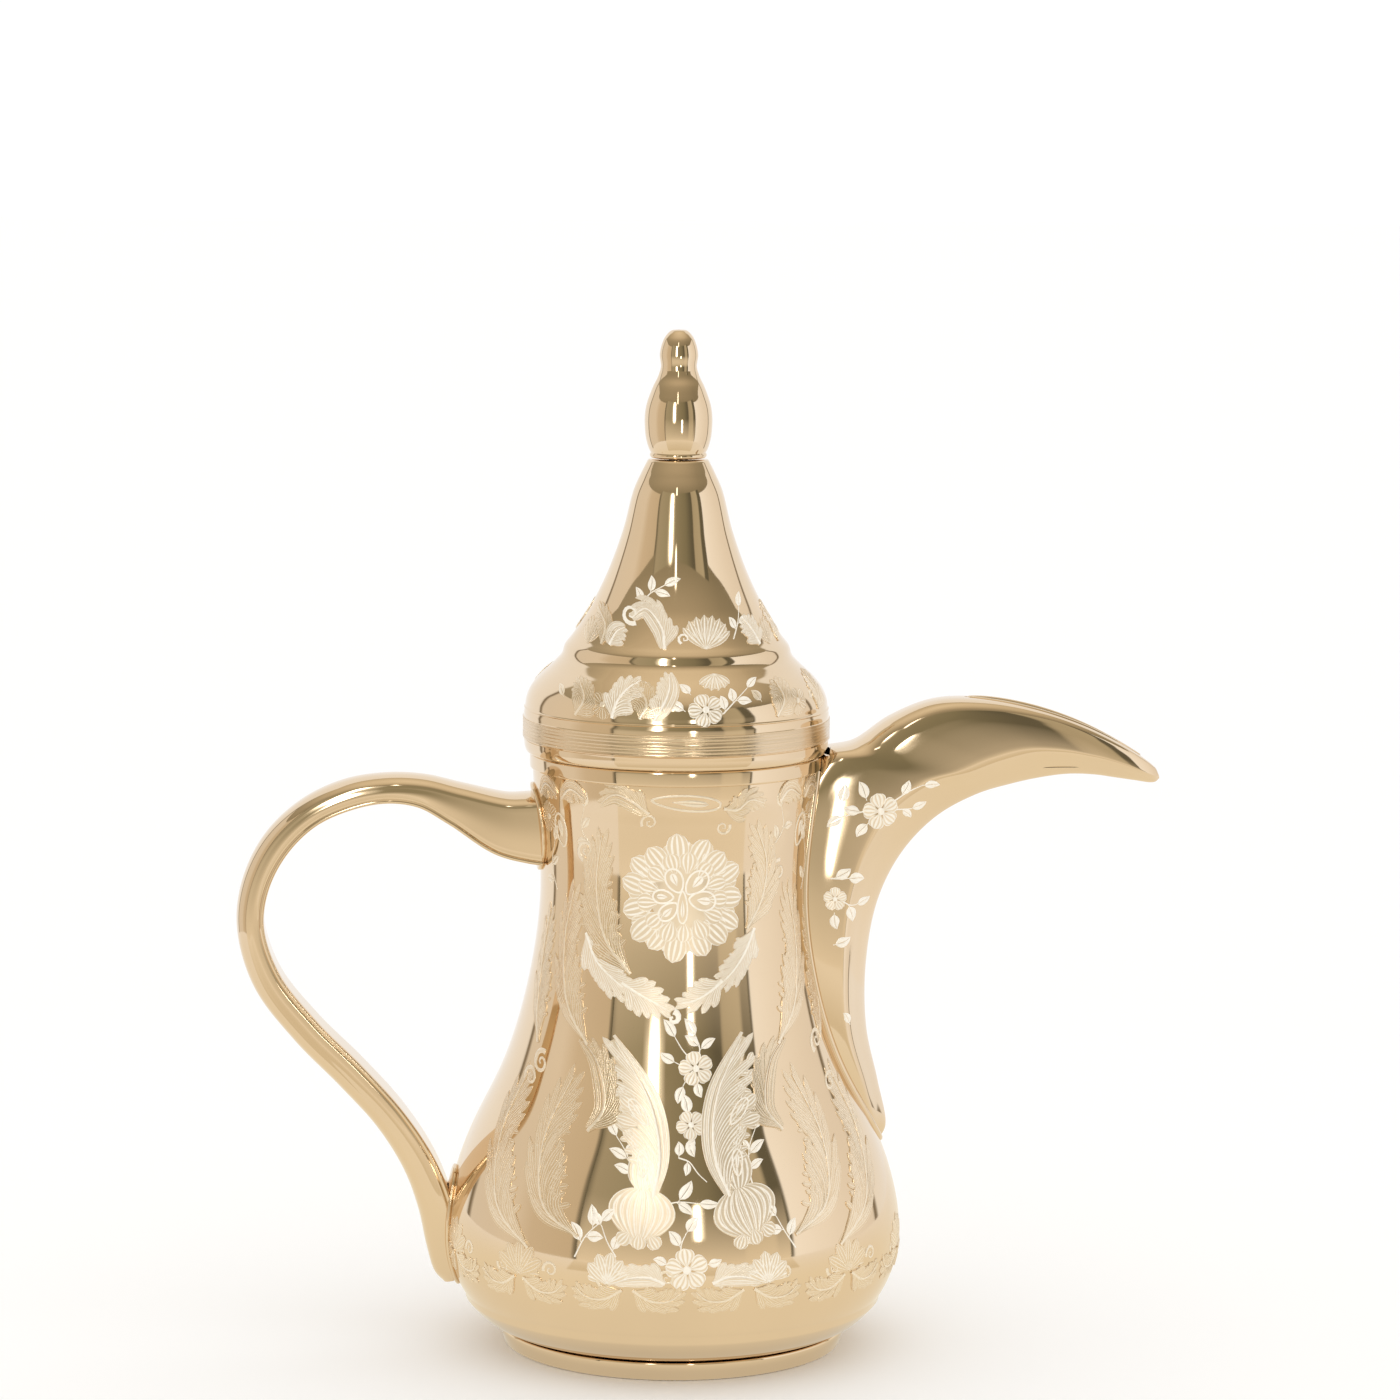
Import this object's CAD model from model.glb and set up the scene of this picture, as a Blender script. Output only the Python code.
"""Looks of the dallah coffee pot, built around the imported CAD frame.

Lengths inside this script are millimetres in the frame's own axes: +Z up the pot's axis, +X to the spout, -X
to the handle. They become metres only where a mesh is made.
"""

import math

import bmesh
import bpy
import numpy as np
from mathutils import Matrix, Vector
from mathutils.bvhtree import BVHTree


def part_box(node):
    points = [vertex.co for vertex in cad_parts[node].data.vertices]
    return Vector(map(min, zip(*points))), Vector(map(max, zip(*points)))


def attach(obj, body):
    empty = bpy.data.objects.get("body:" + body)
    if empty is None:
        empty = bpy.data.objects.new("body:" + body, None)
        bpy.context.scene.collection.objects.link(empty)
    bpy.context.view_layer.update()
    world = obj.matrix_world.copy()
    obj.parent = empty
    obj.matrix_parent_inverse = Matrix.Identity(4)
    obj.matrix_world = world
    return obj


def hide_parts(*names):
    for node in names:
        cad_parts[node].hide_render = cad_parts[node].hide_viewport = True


MM = 0.001
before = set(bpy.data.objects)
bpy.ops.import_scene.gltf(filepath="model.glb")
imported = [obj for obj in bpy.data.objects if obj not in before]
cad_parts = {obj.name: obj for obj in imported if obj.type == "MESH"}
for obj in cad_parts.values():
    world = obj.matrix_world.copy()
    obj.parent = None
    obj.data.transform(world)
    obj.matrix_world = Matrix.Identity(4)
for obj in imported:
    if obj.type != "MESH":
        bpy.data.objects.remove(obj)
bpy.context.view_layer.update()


# ------------------------------------------------------------------ sizes from the frame

def corners(node):
    """Lowest and highest corner of a CAD node, in millimetres."""
    low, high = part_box(node)
    return np.array(low) / MM, np.array(high) / MM


BODY_LOW, BODY_HIGH = corners("body_shell")
BELLY_RADIUS = BODY_HIGH[1]
RIM_HEIGHT = BODY_HIGH[2]
FOOT_RADIUS = corners("foot_ring")[1][0]
FOOT_TOP = corners("foot_ring")[1][2]
RING_RADIUS = corners("neck_ring")[1][0]
RING_LOW = corners("neck_ring")[0][2]
MOUTH_RADIUS = RING_RADIUS - 0.8
LID_LOW, LID_HIGH = corners("lid_dome")
LID_RADIUS = LID_HIGH[0]
SPIRE_LOW, SPIRE_HIGH = corners("lid_spire")
KNOB_LOW, KNOB_HIGH = corners("finial_knob")
NECK_RADIUS = 37.65
NECK_HEIGHT = 131.6
WALL = 1.1


# ------------------------------------------------------------------ curves

def bezier(p0, p1, p2, p3, count):
    t = np.linspace(0, 1, count)[:, None]
    p0, p1, p2, p3 = (np.array(p, float) for p in (p0, p1, p2, p3))
    return (1 - t) ** 3 * p0 + 3 * (1 - t) ** 2 * t * p1 + 3 * (1 - t) * t**2 * p2 + t**3 * p3


def spline(points, count):
    """A smooth curve through the points (centripetal Catmull-Rom), with evenly spaced samples."""
    p = np.array(points, float)
    if len(p) == 2:
        return p[0] + (p[1] - p[0]) * np.linspace(0, 1, count)[:, None]
    p = np.vstack([2 * p[0] - p[1], p, 2 * p[-1] - p[-2]])
    fine = []
    for a, b, c, d in zip(p[:-3], p[1:-2], p[2:-1], p[3:]):
        k0 = 0.0
        k1 = k0 + np.linalg.norm(b - a) ** 0.5 + 1e-9
        k2 = k1 + np.linalg.norm(c - b) ** 0.5 + 1e-9
        k3 = k2 + np.linalg.norm(d - c) ** 0.5 + 1e-9
        t = np.linspace(k1, k2, 24, endpoint=False)[:, None]
        ab = (k1 - t) / (k1 - k0) * a + (t - k0) / (k1 - k0) * b
        bc = (k2 - t) / (k2 - k1) * b + (t - k1) / (k2 - k1) * c
        cd = (k3 - t) / (k3 - k2) * c + (t - k2) / (k3 - k2) * d
        abc = (k2 - t) / (k2 - k0) * ab + (t - k0) / (k2 - k0) * bc
        bcd = (k3 - t) / (k3 - k1) * bc + (t - k1) / (k3 - k1) * cd
        fine.append((k2 - t) / (k2 - k1) * abc + (t - k1) / (k2 - k1) * bcd)
    fine = np.vstack(fine + [p[-2:-1]])
    return resample(fine, count)


def resample(points, count):
    steps = np.linalg.norm(np.diff(points, axis=0), axis=1)
    run = np.concatenate([[0], np.cumsum(steps)])
    even = np.linspace(0, run[-1], count)
    return np.stack([np.interp(even, run, points[:, i]) for i in range(points.shape[1])], axis=1)


class Revolved:
    """A surface of revolution about Z, from an outline of (radius, height) points that runs upwards."""

    def __init__(self, outline, step=0.4, blur=0.0):
        length = np.linalg.norm(np.diff(outline, axis=0), axis=1).sum()
        self.outline = resample(np.array(outline, float), int(length / step) + 2)
        if blur:
            reach = int(3 * blur / step)
            weight = np.exp(-0.5 * (np.arange(-reach, reach + 1) * step / blur) ** 2)
            for _ in range(2):
                soft = [np.convolve(self.outline[:, i], weight / weight.sum(), "valid") for i in (0, 1)]
                self.outline[reach:-reach] = np.stack(soft, axis=1)
        steps = np.linalg.norm(np.diff(self.outline, axis=0), axis=1)
        self.run = np.concatenate([[0], np.cumsum(steps)])
        along = np.gradient(self.outline, self.run, axis=0)
        along /= np.linalg.norm(along, axis=1)[:, None]
        self.normal = np.stack([along[:, 1], -along[:, 0]], axis=1)

    def run_at(self, height):
        return float(np.interp(height, self.outline[:, 1], self.run))

    def place(self, around, flat, lift):
        """Wraps flat points round the bearing: millimetres to the side and millimetres up the outline."""
        run = flat[..., 1]
        radius = np.interp(run, self.run, self.outline[:, 0])
        z = np.interp(run, self.run, self.outline[:, 1])
        out = np.interp(run, self.run, self.normal[:, 0])
        up = np.interp(run, self.run, self.normal[:, 1])
        angle = around + flat[..., 0] / radius
        reach = radius + lift * out
        return np.stack([reach * np.cos(angle), reach * np.sin(angle), z + lift * up], axis=-1)


# ------------------------------------------------------------------ meshes

def make_mesh(name, points, faces, material, smooth=True, uv=None):
    """A mesh object from millimetre points; uv holds one (u, v) pair per point."""
    mesh = bpy.data.meshes.new(name)
    mesh.from_pydata((np.asarray(points) * MM).tolist(), [], faces)
    if uv is not None:
        layer = mesh.uv_layers.new(name="pattern")
        corner = np.zeros(len(mesh.loops), np.int32)
        mesh.loops.foreach_get("vertex_index", corner)
        layer.data.foreach_set("uv", np.asarray(uv, np.float32)[corner].ravel())
    mesh.polygons.foreach_set("use_smooth", [smooth] * len(mesh.polygons))
    mesh.materials.append(material)
    obj = bpy.data.objects.new(name, mesh)
    bpy.context.scene.collection.objects.link(obj)
    return obj


def grid_faces(rows, columns, closed_columns=False):
    faces = []
    last = columns if closed_columns else columns - 1
    for i in range(rows - 1):
        for j in range(last):
            k = (j + 1) % columns
            faces.append((i * columns + j, i * columns + k, (i + 1) * columns + k, (i + 1) * columns + j))
    return faces


def joined_ends(rows, columns):
    """Faces that join the last ring to the first."""
    last = (rows - 1) * columns
    return [(last + j, last + (j + 1) % columns, (j + 1) % columns, j) for j in range(columns)]


def end_fans(rows, columns):
    """Triangles that close both ends; their two middle points follow the points of all the rings."""
    low, high, last = rows * columns, rows * columns + 1, (rows - 1) * columns
    faces = []
    for j in range(columns):
        k = (j + 1) % columns
        faces.append((low, k, j))
        faces.append((high, last + j, last + k))
    return faces


def turned(name, profile, material, facets=256):
    """A closed profile of (radius, height) turned about Z; a profile may start and end on the axis."""
    profile = np.array(profile, float)
    on_axis = profile[0, 0] < 1e-6 and profile[-1, 0] < 1e-6
    ring = profile[1:-1] if on_axis else profile
    angle = np.arange(facets) * 2 * math.pi / facets
    x = np.outer(ring[:, 0], np.cos(angle))
    y = np.outer(ring[:, 0], np.sin(angle))
    z = np.outer(ring[:, 1], np.ones(facets))
    points = np.stack([x, y, z], axis=-1).reshape(-1, 3)
    rows = len(ring)
    faces = grid_faces(rows, facets, closed_columns=True)
    if on_axis:
        points = np.vstack([points, [[0, 0, profile[0, 1]], [0, 0, profile[-1, 1]]]])
        faces += end_fans(rows, facets)
    else:
        faces += joined_ends(rows, facets)
    return make_mesh(name, points, faces, material)


def lofted(name, rings, material):
    """A closed skin through rings of points, with a fan over each end."""
    rings = np.array(rings, float)
    rows, columns = rings.shape[:2]
    points = np.vstack([rings.reshape(-1, 3), rings[0].mean(0), rings[-1].mean(0)])
    faces = grid_faces(rows, columns, closed_columns=True) + end_fans(rows, columns)
    return make_mesh(name, points, faces, material)


def swept(path, radius, sides=10, closed=False):
    """Rings of a round bead along a path of points."""
    path = np.array(path, float)
    if closed:
        along = np.roll(path, -1, axis=0) - np.roll(path, 1, axis=0)
    else:
        along = np.gradient(path, axis=0)
    along /= np.linalg.norm(along, axis=1)[:, None]
    side = np.cross(along[0], [0.0, 0.0, 1.0])
    if np.linalg.norm(side) < 1e-3:
        side = np.cross(along[0], [0.0, 1.0, 0.0])
    rings = []
    for point, direction in zip(path, along):
        side = side - direction * (side @ direction)
        side /= np.linalg.norm(side)
        other = np.cross(direction, side)
        angle = np.arange(sides) * 2 * math.pi / sides
        rings.append(point + radius * (np.outer(np.cos(angle), side) + np.outer(np.sin(angle), other)))
    return np.array(rings)


def recalculated(obj):
    """Turns every face outwards."""
    work = bmesh.new()
    work.from_mesh(obj.data)
    bmesh.ops.recalc_face_normals(work, faces=work.faces)
    work.to_mesh(obj.data)
    work.free()
    return obj


def boolean(obj, cutter):
    """Cuts the cutter out of the object and removes it."""
    modifier = obj.modifiers.new("cut", "BOOLEAN")
    modifier.operation = "DIFFERENCE"
    modifier.solver = "MANIFOLD"
    modifier.object = cutter
    bpy.context.view_layer.update()
    depsgraph = bpy.context.evaluated_depsgraph_get()
    made = bpy.data.meshes.new_from_object(obj.evaluated_get(depsgraph))
    obj.modifiers.clear()
    old = obj.data
    obj.data = made
    made.name = obj.name
    bpy.data.meshes.remove(old)
    bpy.data.objects.remove(cutter)


def smooth_by_angle(obj, degrees):
    obj.data.set_sharp_from_angle(angle=math.radians(degrees))


def smoothed(obj, degrees=35):
    recalculated(obj)
    smooth_by_angle(obj, degrees)
    return obj


# ------------------------------------------------------------------ materials

def new_material(name):
    material = bpy.data.materials.new(name)
    material.use_nodes = True
    nodes = material.node_tree.nodes
    return material, nodes, material.node_tree.links, nodes["Principled BSDF"]


def noise_at(nodes, links, scale, detail=3.0, stretch=(1.0, 1.0, 1.0)):
    place = nodes.new("ShaderNodeTexCoord")
    mapping = nodes.new("ShaderNodeMapping")
    mapping.inputs["Scale"].default_value = stretch
    noise = nodes.new("ShaderNodeTexNoise")
    noise.inputs["Scale"].default_value = scale
    noise.inputs["Detail"].default_value = detail
    links.new(place.outputs["Object"], mapping.inputs["Vector"])
    links.new(mapping.outputs["Vector"], noise.inputs["Vector"])
    return noise


def ramp(nodes, links, source, stops):
    made = nodes.new("ShaderNodeValToRGB")
    made.color_ramp.elements[0].position = stops[0][0]
    made.color_ramp.elements[0].color = stops[0][1]
    made.color_ramp.elements[1].position = stops[-1][0]
    made.color_ramp.elements[1].color = stops[-1][1]
    for position, color in stops[1:-1]:
        made.color_ramp.elements.new(position).color = color
    links.new(source, made.inputs["Fac"])
    return made


def level(value):
    return (value, value, value, 1.0)


def between(nodes, links, source, low, high):
    """A grey level that runs from one value to another as the source runs from 0 to 1."""
    return ramp(nodes, links, source, [(0.0, level(low)), (1.0, level(high))])


def calculated(nodes, links, operation, source, *values, clamp=False):
    """A Math node fed by the source, with fixed values in its other inputs."""
    made = nodes.new("ShaderNodeMath")
    made.operation = operation
    made.use_clamp = clamp
    links.new(source, made.inputs[0])
    for k, value in enumerate(values, 1):
        made.inputs[k].default_value = value
    return made


def pattern_axes(nodes, links):
    """The outputs X and Y of the uv layer that make_mesh writes."""
    pattern = nodes.new("ShaderNodeUVMap")
    pattern.uv_map = "pattern"
    split = nodes.new("ShaderNodeSeparateXYZ")
    links.new(pattern.outputs["UV"], split.inputs["Vector"])
    return split.outputs


def add_bump(nodes, links, source, shader, strength, distance):
    bump = nodes.new("ShaderNodeBump")
    bump.inputs["Strength"].default_value = strength
    bump.inputs["Distance"].default_value = distance
    links.new(source, bump.inputs["Height"])
    links.new(bump.outputs["Normal"], shader.inputs["Normal"])


GOLD = (0.80, 0.635, 0.445)
INNER_GOLD = (0.72, 0.62, 0.50)


def tinted(factor, base=GOLD):
    return (base[0] * factor, base[1] * factor, base[2] * factor, 1.0)


def polished_gold(name, roughness=0.035, ripple=0.012):
    """Mirror-polished rose-gold plate: slight tone changes, faint haze and the buffing wheel's ripple."""
    material, nodes, links, shader = new_material(name)
    shader.inputs["Metallic"].default_value = 1.0
    tone = noise_at(nodes, links, 22.0, 4.0)
    color = ramp(nodes, links, tone.outputs["Fac"], [(0.3, tinted(0.965)), (0.7, tinted(1.02))])
    links.new(color.outputs["Color"], shader.inputs["Base Color"])
    haze = noise_at(nodes, links, 60.0, 6.0)
    clear, hazy = level(roughness), level(roughness + 0.035)
    rough = ramp(nodes, links, haze.outputs["Fac"], [(0.35, clear), (0.75, hazy)])
    links.new(rough.outputs["Color"], shader.inputs["Roughness"])
    buff = noise_at(nodes, links, 90.0, 2.0, (1.0, 1.0, 0.35))
    add_bump(nodes, links, buff.outputs["Fac"], shader, ripple, 0.0004)
    return material


def etched_gold(name, bright, ground, line_share):
    """Etched ornament: bright satin lines ruled along each blade over a darker, grainy satin.

    The first uv axis counts the ruled spaces across a blade. bright and ground are (colour, metallic,
    roughness), and line_share is the part of each space that its line fills."""
    material, nodes, links, shader = new_material(name)
    edge = 1.6
    turns = calculated(nodes, links, "MULTIPLY", pattern_axes(nodes, links)["X"], 2 * math.pi)
    wave = calculated(nodes, links, "COSINE", turns.outputs["Value"])
    offset = 0.5 - edge * math.cos(math.pi * line_share)
    etch = calculated(nodes, links, "MULTIPLY_ADD", wave.outputs["Value"], edge, offset, clamp=True)
    grain = noise_at(nodes, links, 1100.0, 2.0)
    speck = ramp(nodes, links, grain.outputs["Fac"], [(0.3, level(0.74)), (0.6, level(1.0))])
    mixed = calculated(nodes, links, "MULTIPLY", etch.outputs["Value"])
    links.new(speck.outputs["Color"], mixed.inputs[1])
    share = mixed.outputs["Value"]
    color = ramp(nodes, links, share, [(0.0, (*ground[0], 1.0)), (1.0, (*bright[0], 1.0))])
    links.new(color.outputs["Color"], shader.inputs["Base Color"])
    metal = between(nodes, links, share, ground[1], bright[1])
    links.new(metal.outputs["Color"], shader.inputs["Metallic"])
    rough = between(nodes, links, share, ground[2], bright[2])
    links.new(rough.outputs["Color"], shader.inputs["Roughness"])
    shader.inputs["Specular IOR Level"].default_value = 0.3
    add_bump(nodes, links, share, shader, 0.3, 0.0001)
    return material


def brushed_gold(name, roughness=0.3, base=GOLD):
    """Turned, unpolished metal: fine rings about the pot's axis."""
    material, nodes, links, shader = new_material(name)
    shader.inputs["Metallic"].default_value = 1.0
    rings = noise_at(nodes, links, 40.0, 4.0, (0.2, 0.2, 30.0)).outputs["Fac"]
    color = ramp(nodes, links, rings, [(0.3, tinted(0.85, base)), (0.7, tinted(1.0, base))])
    links.new(color.outputs["Color"], shader.inputs["Base Color"])
    rough = ramp(nodes, links, rings, [(0.3, level(roughness - 0.08)), (0.7, level(roughness + 0.08))])
    links.new(rough.outputs["Color"], shader.inputs["Roughness"])
    add_bump(nodes, links, rings, shader, 0.15, 0.0002)
    return material


MIRROR = polished_gold("polished_gold")
ENGRAVED = polished_gold("polished_gold_ground", 0.04, 0.015)
# The lines and the ground of the etching, as (colour, metallic, roughness).
CREAM = ((0.985, 0.925, 0.815), 0.15, 0.40)
SATIN = ((0.85, 0.72, 0.545), 0.66, 0.33)
SOFT_CREAM = ((0.92, 0.81, 0.65), 0.60, 0.34)
SOFT_SATIN = ((0.81, 0.65, 0.455), 0.96, 0.24)
ETCHED = etched_gold("etched_gold", CREAM, SATIN, 0.40)
ETCHED_LEAF = etched_gold("etched_gold_leaf", CREAM, SATIN, 0.58)
ETCHED_SOFT = etched_gold("etched_gold_soft", SOFT_CREAM, SOFT_SATIN, 0.30)
TURNED = brushed_gold("turned_gold", 0.26)
INNER = brushed_gold("inner_gold", 0.34, INNER_GOLD)


# ------------------------------------------------------------------ outlines of the turned pieces

def body_outline():
    """The body's outer outline from the foot to the rim, as in the frame."""
    foot = (FOOT_RADIUS - 0.7, BODY_LOW[2])
    heel = (53.5, 8.2)
    belly = (BELLY_RADIUS, 31)
    waist = (52.7, 70.4)
    neck = (NECK_RADIUS, NECK_HEIGHT)
    mouth = (MOUTH_RADIUS, 165)
    parts = [
        bezier(foot, (49.8, 6.1), (51.9, 7.0), heel, 12),
        bezier(heel, (57.9, 11.6), (BELLY_RADIUS, 19.1), belly, 60),
        bezier(belly, (BELLY_RADIUS, 48.2), (54.6, 67.7), waist, 60),
        bezier(waist, (44.9, 81.7), (NECK_RADIUS, 114), neck, 60),
        bezier(neck, (NECK_RADIUS, 143.7), (MOUTH_RADIUS - 0.1, 157), mouth, 50),
        np.array([mouth, (MOUTH_RADIUS, RIM_HEIGHT)]),
    ]
    return np.vstack([parts[0]] + [p[1:] for p in parts[1:]])


BODY = Revolved(body_outline(), step=1.2, blur=5.0)


def inset_outline(outline, wall):
    """The same outline moved towards the axis by the wall."""
    along = np.gradient(outline, axis=0)
    along /= np.linalg.norm(along, axis=1)[:, None]
    return outline - wall * np.stack([along[:, 1], -along[:, 0]], axis=1)


def body_blank(gap, top, material):
    """A solid that fills the body and a gap round it, for cutting what is joined to the body."""
    wall = inset_outline(BODY.outline, -gap)
    profile = [(0, -5), (wall[0, 0], -5), *map(tuple, wall), (wall[-1, 0], top), (0, top)]
    return recalculated(turned("body_blank", profile, material))


# The strainer: rows of round holes through the neck, behind the spout.
STRAINER_ROWS = range(96, 137, 8)
HOLE_SPACING = 7
HOLE_RADIUS = 1.7
HOLE_SIDES = 20


def strainer_drills():
    points, faces = [], []
    for row, height in enumerate(STRAINER_ROWS):
        for step in ((-0.5, 0.5) if row % 2 else (-1, 0, 1)):
            start = np.array([NECK_RADIUS - 12, step * HOLE_SPACING, height])
            base = len(points) * 2 * HOLE_SIDES
            rod = swept([start, start + [30, 0, 0]], HOLE_RADIUS, HOLE_SIDES)
            points.append(rod.reshape(-1, 3))
            faces += [tuple(base + i for i in f) for f in grid_faces(2, HOLE_SIDES, True)]
            faces.append(tuple(base + i for i in reversed(range(HOLE_SIDES))))
            faces.append(tuple(base + HOLE_SIDES + i for i in range(HOLE_SIDES)))
    return recalculated(make_mesh("drills", np.vstack(points), faces, ENGRAVED))


def build_body():
    inner = inset_outline(BODY.outline, WALL)
    inner[0] = (BODY.outline[0, 0] - WALL, BODY.outline[0, 1])
    inner[-1] = (BODY.outline[-1, 0] - WALL, RIM_HEIGHT)
    shell = turned("body", np.vstack([BODY.outline, inner[::-1]]), ENGRAVED)
    drills = strainer_drills()
    recalculated(shell)
    boolean(shell, drills)
    smooth_by_angle(shell, 40)
    return shell


def build_foot():
    lower = FOOT_RADIUS - 1.1
    seat = FOOT_RADIUS - 2.4
    band = spline([(lower - 1.2, 0.02), (lower - 0.25, 0.45), (lower + 0.05, 1.5)], 10)
    top = spline([(FOOT_RADIUS, FOOT_TOP - 0.7), (FOOT_RADIUS - 0.15, FOOT_TOP - 0.2),
                  (FOOT_RADIUS - 0.6, FOOT_TOP)], 8)
    profile = np.vstack([
        [(lower - 3.4, 0.0)],
        band,
        top,
        [(seat, FOOT_TOP), (seat, FOOT_TOP - 0.9), (lower - 1.2, 2.4), (lower - 3.4, 1.5)],
    ])
    return smoothed(turned("foot", profile, MIRROR))
def build_base():
    radius = corners("base_disc")[1][0]
    top = corners("base_disc")[1][2]
    profile = [(0, 0), (radius - 0.3, 0), (radius, 0.3), (radius, top - 0.2), (radius - 0.2, top), (0, top)]
    return smoothed(turned("base_plate", profile, INNER))


def build_neck_ring():
    inner = MOUTH_RADIUS + 0.02
    outer = RING_RADIUS
    low = RING_LOW
    profile = np.vstack([
        [(inner, low)],
        spline([(outer - 0.45, low), (outer - 0.1, low + 0.25), (outer - 0.03, low + 0.8)], 6),
        spline([(outer, RIM_HEIGHT - 0.9), (outer - 0.08, RIM_HEIGHT - 0.35), (outer - 0.4, RIM_HEIGHT)], 8),
        [(inner, RIM_HEIGHT)],
    ])
    return smoothed(turned("mouth_ring", profile, MIRROR))


# ------------------------------------------------------------------ lid

BAND_LOW = 172.9
BAND_HIGH = 178.6


def lid_outline():
    """From the curled lower edge over the turned band, the dome, the soft step and the spire to the knob."""
    low, top, edge = LID_LOW[2], SPIRE_HIGH[2], LID_RADIUS
    curl = spline([(edge - 1.5, low), (edge - 0.95, low + 0.25), (edge - 0.5, low + 1.3),
                   (edge - 0.2, BAND_LOW - 0.5)], 16)
    line = [(edge - 0.36, BAND_LOW - 0.35), (edge - 0.32, BAND_LOW - 0.15), (edge - 0.08, BAND_LOW)]
    band = spline([(edge - 0.08, BAND_LOW), (edge, 175.5), (edge - 0.06, BAND_HIGH)], 12)
    shelf = spline([(edge - 0.2, BAND_HIGH + 0.15), (edge - 0.25, 180), (edge - 0.5, 180.9)], 8)
    bead = spline([(edge - 0.5, 180.9), (edge - 0.22, 181.2), (edge - 0.5, 181.6)], 8)
    dome = spline([
        (edge - 0.55, 181.8), (42.0, 183.9), (41.0, 186.4), (39.3, 188.8), (37.2, 191.0), (35.2, 192.8),
        (33.5, 194.5), (32.5, 195.6), (31.95, 196.6), (31.65, 197.8), (31.25, 198.8), (30.6, 199.7),
        (29.6, 200.9), (27.9, 203.3), (25.8, 206.6), (23.5, 210.6), (19.3, 219.5), (15.2, 231),
        (12.4, 241.9), (10.4, 246.5), (8.6, top - 0.5),
    ], 330)
    seat = spline([(8.6, top - 0.5), (8.25, top - 0.1), (7.8, top)], 5)
    return np.vstack([curl, line, band[1:], shelf, bead[1:], dome, seat[1:]])


LID = Revolved(lid_outline(), step=0.25)


def build_lid_skin():
    inner = resample(inset_outline(resample(lid_outline(), 120), 1.0), 90)
    top, bore = SPIRE_HIGH[2], 2.8
    inner = inner[(inner[:, 1] < top - 3.6) & (inner[:, 1] > LID_LOW[2] + 1)]
    profile = np.vstack([
        [(LID_RADIUS - 2.4, LID_LOW[2])],
        lid_outline(),
        [(bore, top), (bore, top - 3), (6.2, top - 3)],
        inner[::-1],
    ])
    return smoothed(turned("lid_skin", profile, ENGRAVED), 30)


def build_turned_band():
    """The satin ring of fine turned lines round the lid's lower edge."""
    heights = np.arange(BAND_LOW + 0.1, BAND_HIGH - 0.05, 0.11)
    rng = np.random.default_rng(7)
    swell = 0.035 * np.sin(2 * math.pi * heights / 0.9) + 0.02 * rng.standard_normal(len(heights))
    outer = np.column_stack([LID_RADIUS + 0.05 + swell, heights])
    profile = np.vstack([[(LID_RADIUS - 0.5, heights[0])], outer, [(LID_RADIUS - 0.5, heights[-1])]])
    return smoothed(turned("lid_turned_band", profile, TURNED), 60)


def build_collar():
    low, high = corners("lid_collar")
    outer = 38.0
    flange = high[0]
    profile = np.vstack([
        [(outer - 1.1, low[2])],
        spline([(outer - 0.5, low[2]), (outer - 0.2, low[2] + 0.5), (outer, low[2] + 1.6)], 6),
        [(outer, high[2] - 0.9), (flange, high[2] - 0.9), (flange, high[2]), (outer - 0.9, high[2])],
    ])
    return smoothed(turned("lid_collar_ring", profile, INNER))


def build_knob():
    low, top, bore = KNOB_LOW[2], KNOB_HIGH[2], 2.6
    foot = spline([(6.8, low), (7.7, low + 0.25), (7.95, low + 0.9), (7.7, low + 1.5)], 10)
    bulb = spline([
        (7.7, low + 1.5), (8.35, 253.8), (9.1, 256.6), (9.45, 261), (9.25, 264.2), (8.75, 266.5), (7.9, 268.9),
        (7.0, 271.1), (5.9, 273.3), (5.15, 275.4),
    ], 90)
    bead = spline([
        (5.15, 275.4), (5.0, 276.5), (5.35, 279.2), (5.2, 280.8), (4.75, 282.6), (3.9, 284.5),
        (2.2, top - 0.35), (0.0, top),
    ], 50)
    profile = np.vstack([[(0, low + 8), (bore, low + 8), (bore, low)], foot, bulb[1:], bead[1:]])
    return smoothed(turned("knob", profile, MIRROR, 128), 40)


# ------------------------------------------------------------------ spout

# Stations from the spout's lowest point to its nose: inner or upper point, outer or under point, half width.
SPOUT_STATIONS = [
    ((50, 56.2), (58.2, 56.6), 2.0),
    ((48, 63), (60.4, 61.5), 6.5),
    ((44, 74), (58, 74), 10.5),
    ((36, 92), (54.5, 90), 13.6),
    ((33, 110), (54.2, 108), 14.4),
    ((31, 130), (57.5, 126.5), 14.0),
    ((31, 146), (64.3, 140), 13.0),
    ((33, 160), (74, 150), 12.0),
    ((40, 168.8), (85, 156), 10.8),
    ((50, 171.4), (95, 159), 10.0),
    ((60, 178.2), (103.5, 160.8), 9.4),
    ((72, 183), (111, 161.7), 8.8),
    ((85, 183.6), (118, 161.5), 8.2),
    ((100.8, 181), (124.5, 160.6), 7.4),
    ((115, 176), (130, 159.8), 6.4),
    ((127.5, 169.4), (134.3, 159.2), 4.8),
    ((133.2, 165.6), (136.0, 159.5), 3.3),
    ((135.6, 163.6), (136.9, 160.4), 1.7),
]
SPOUT_WALL = 1.3

# Half the spout's section, from its upper or inner edge to its underside: along the section, then across it.
SPOUT_SECTION = [
    (-1, 0), (-0.99, 0.34), (-0.955, 0.6), (-0.87, 0.82), (-0.72, 0.935), (-0.5, 0.98), (-0.2, 1.0),
    (0.1, 0.995), (0.26, 0.975), (0.36, 0.92), (0.47, 0.8), (0.64, 0.58), (0.82, 0.35), (0.93, 0.19),
    (0.985, 0.08), (1, 0),
]
# The leaf-shaped slot in the top of the beak, and the lip rolled round it.
SLOT_START = 81
SLOT_LENGTH = 51.5
SLOT_HALF_WIDTH = 4.0
LIP_RADIUS = 0.85
LIP_SIDES = 12


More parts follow.
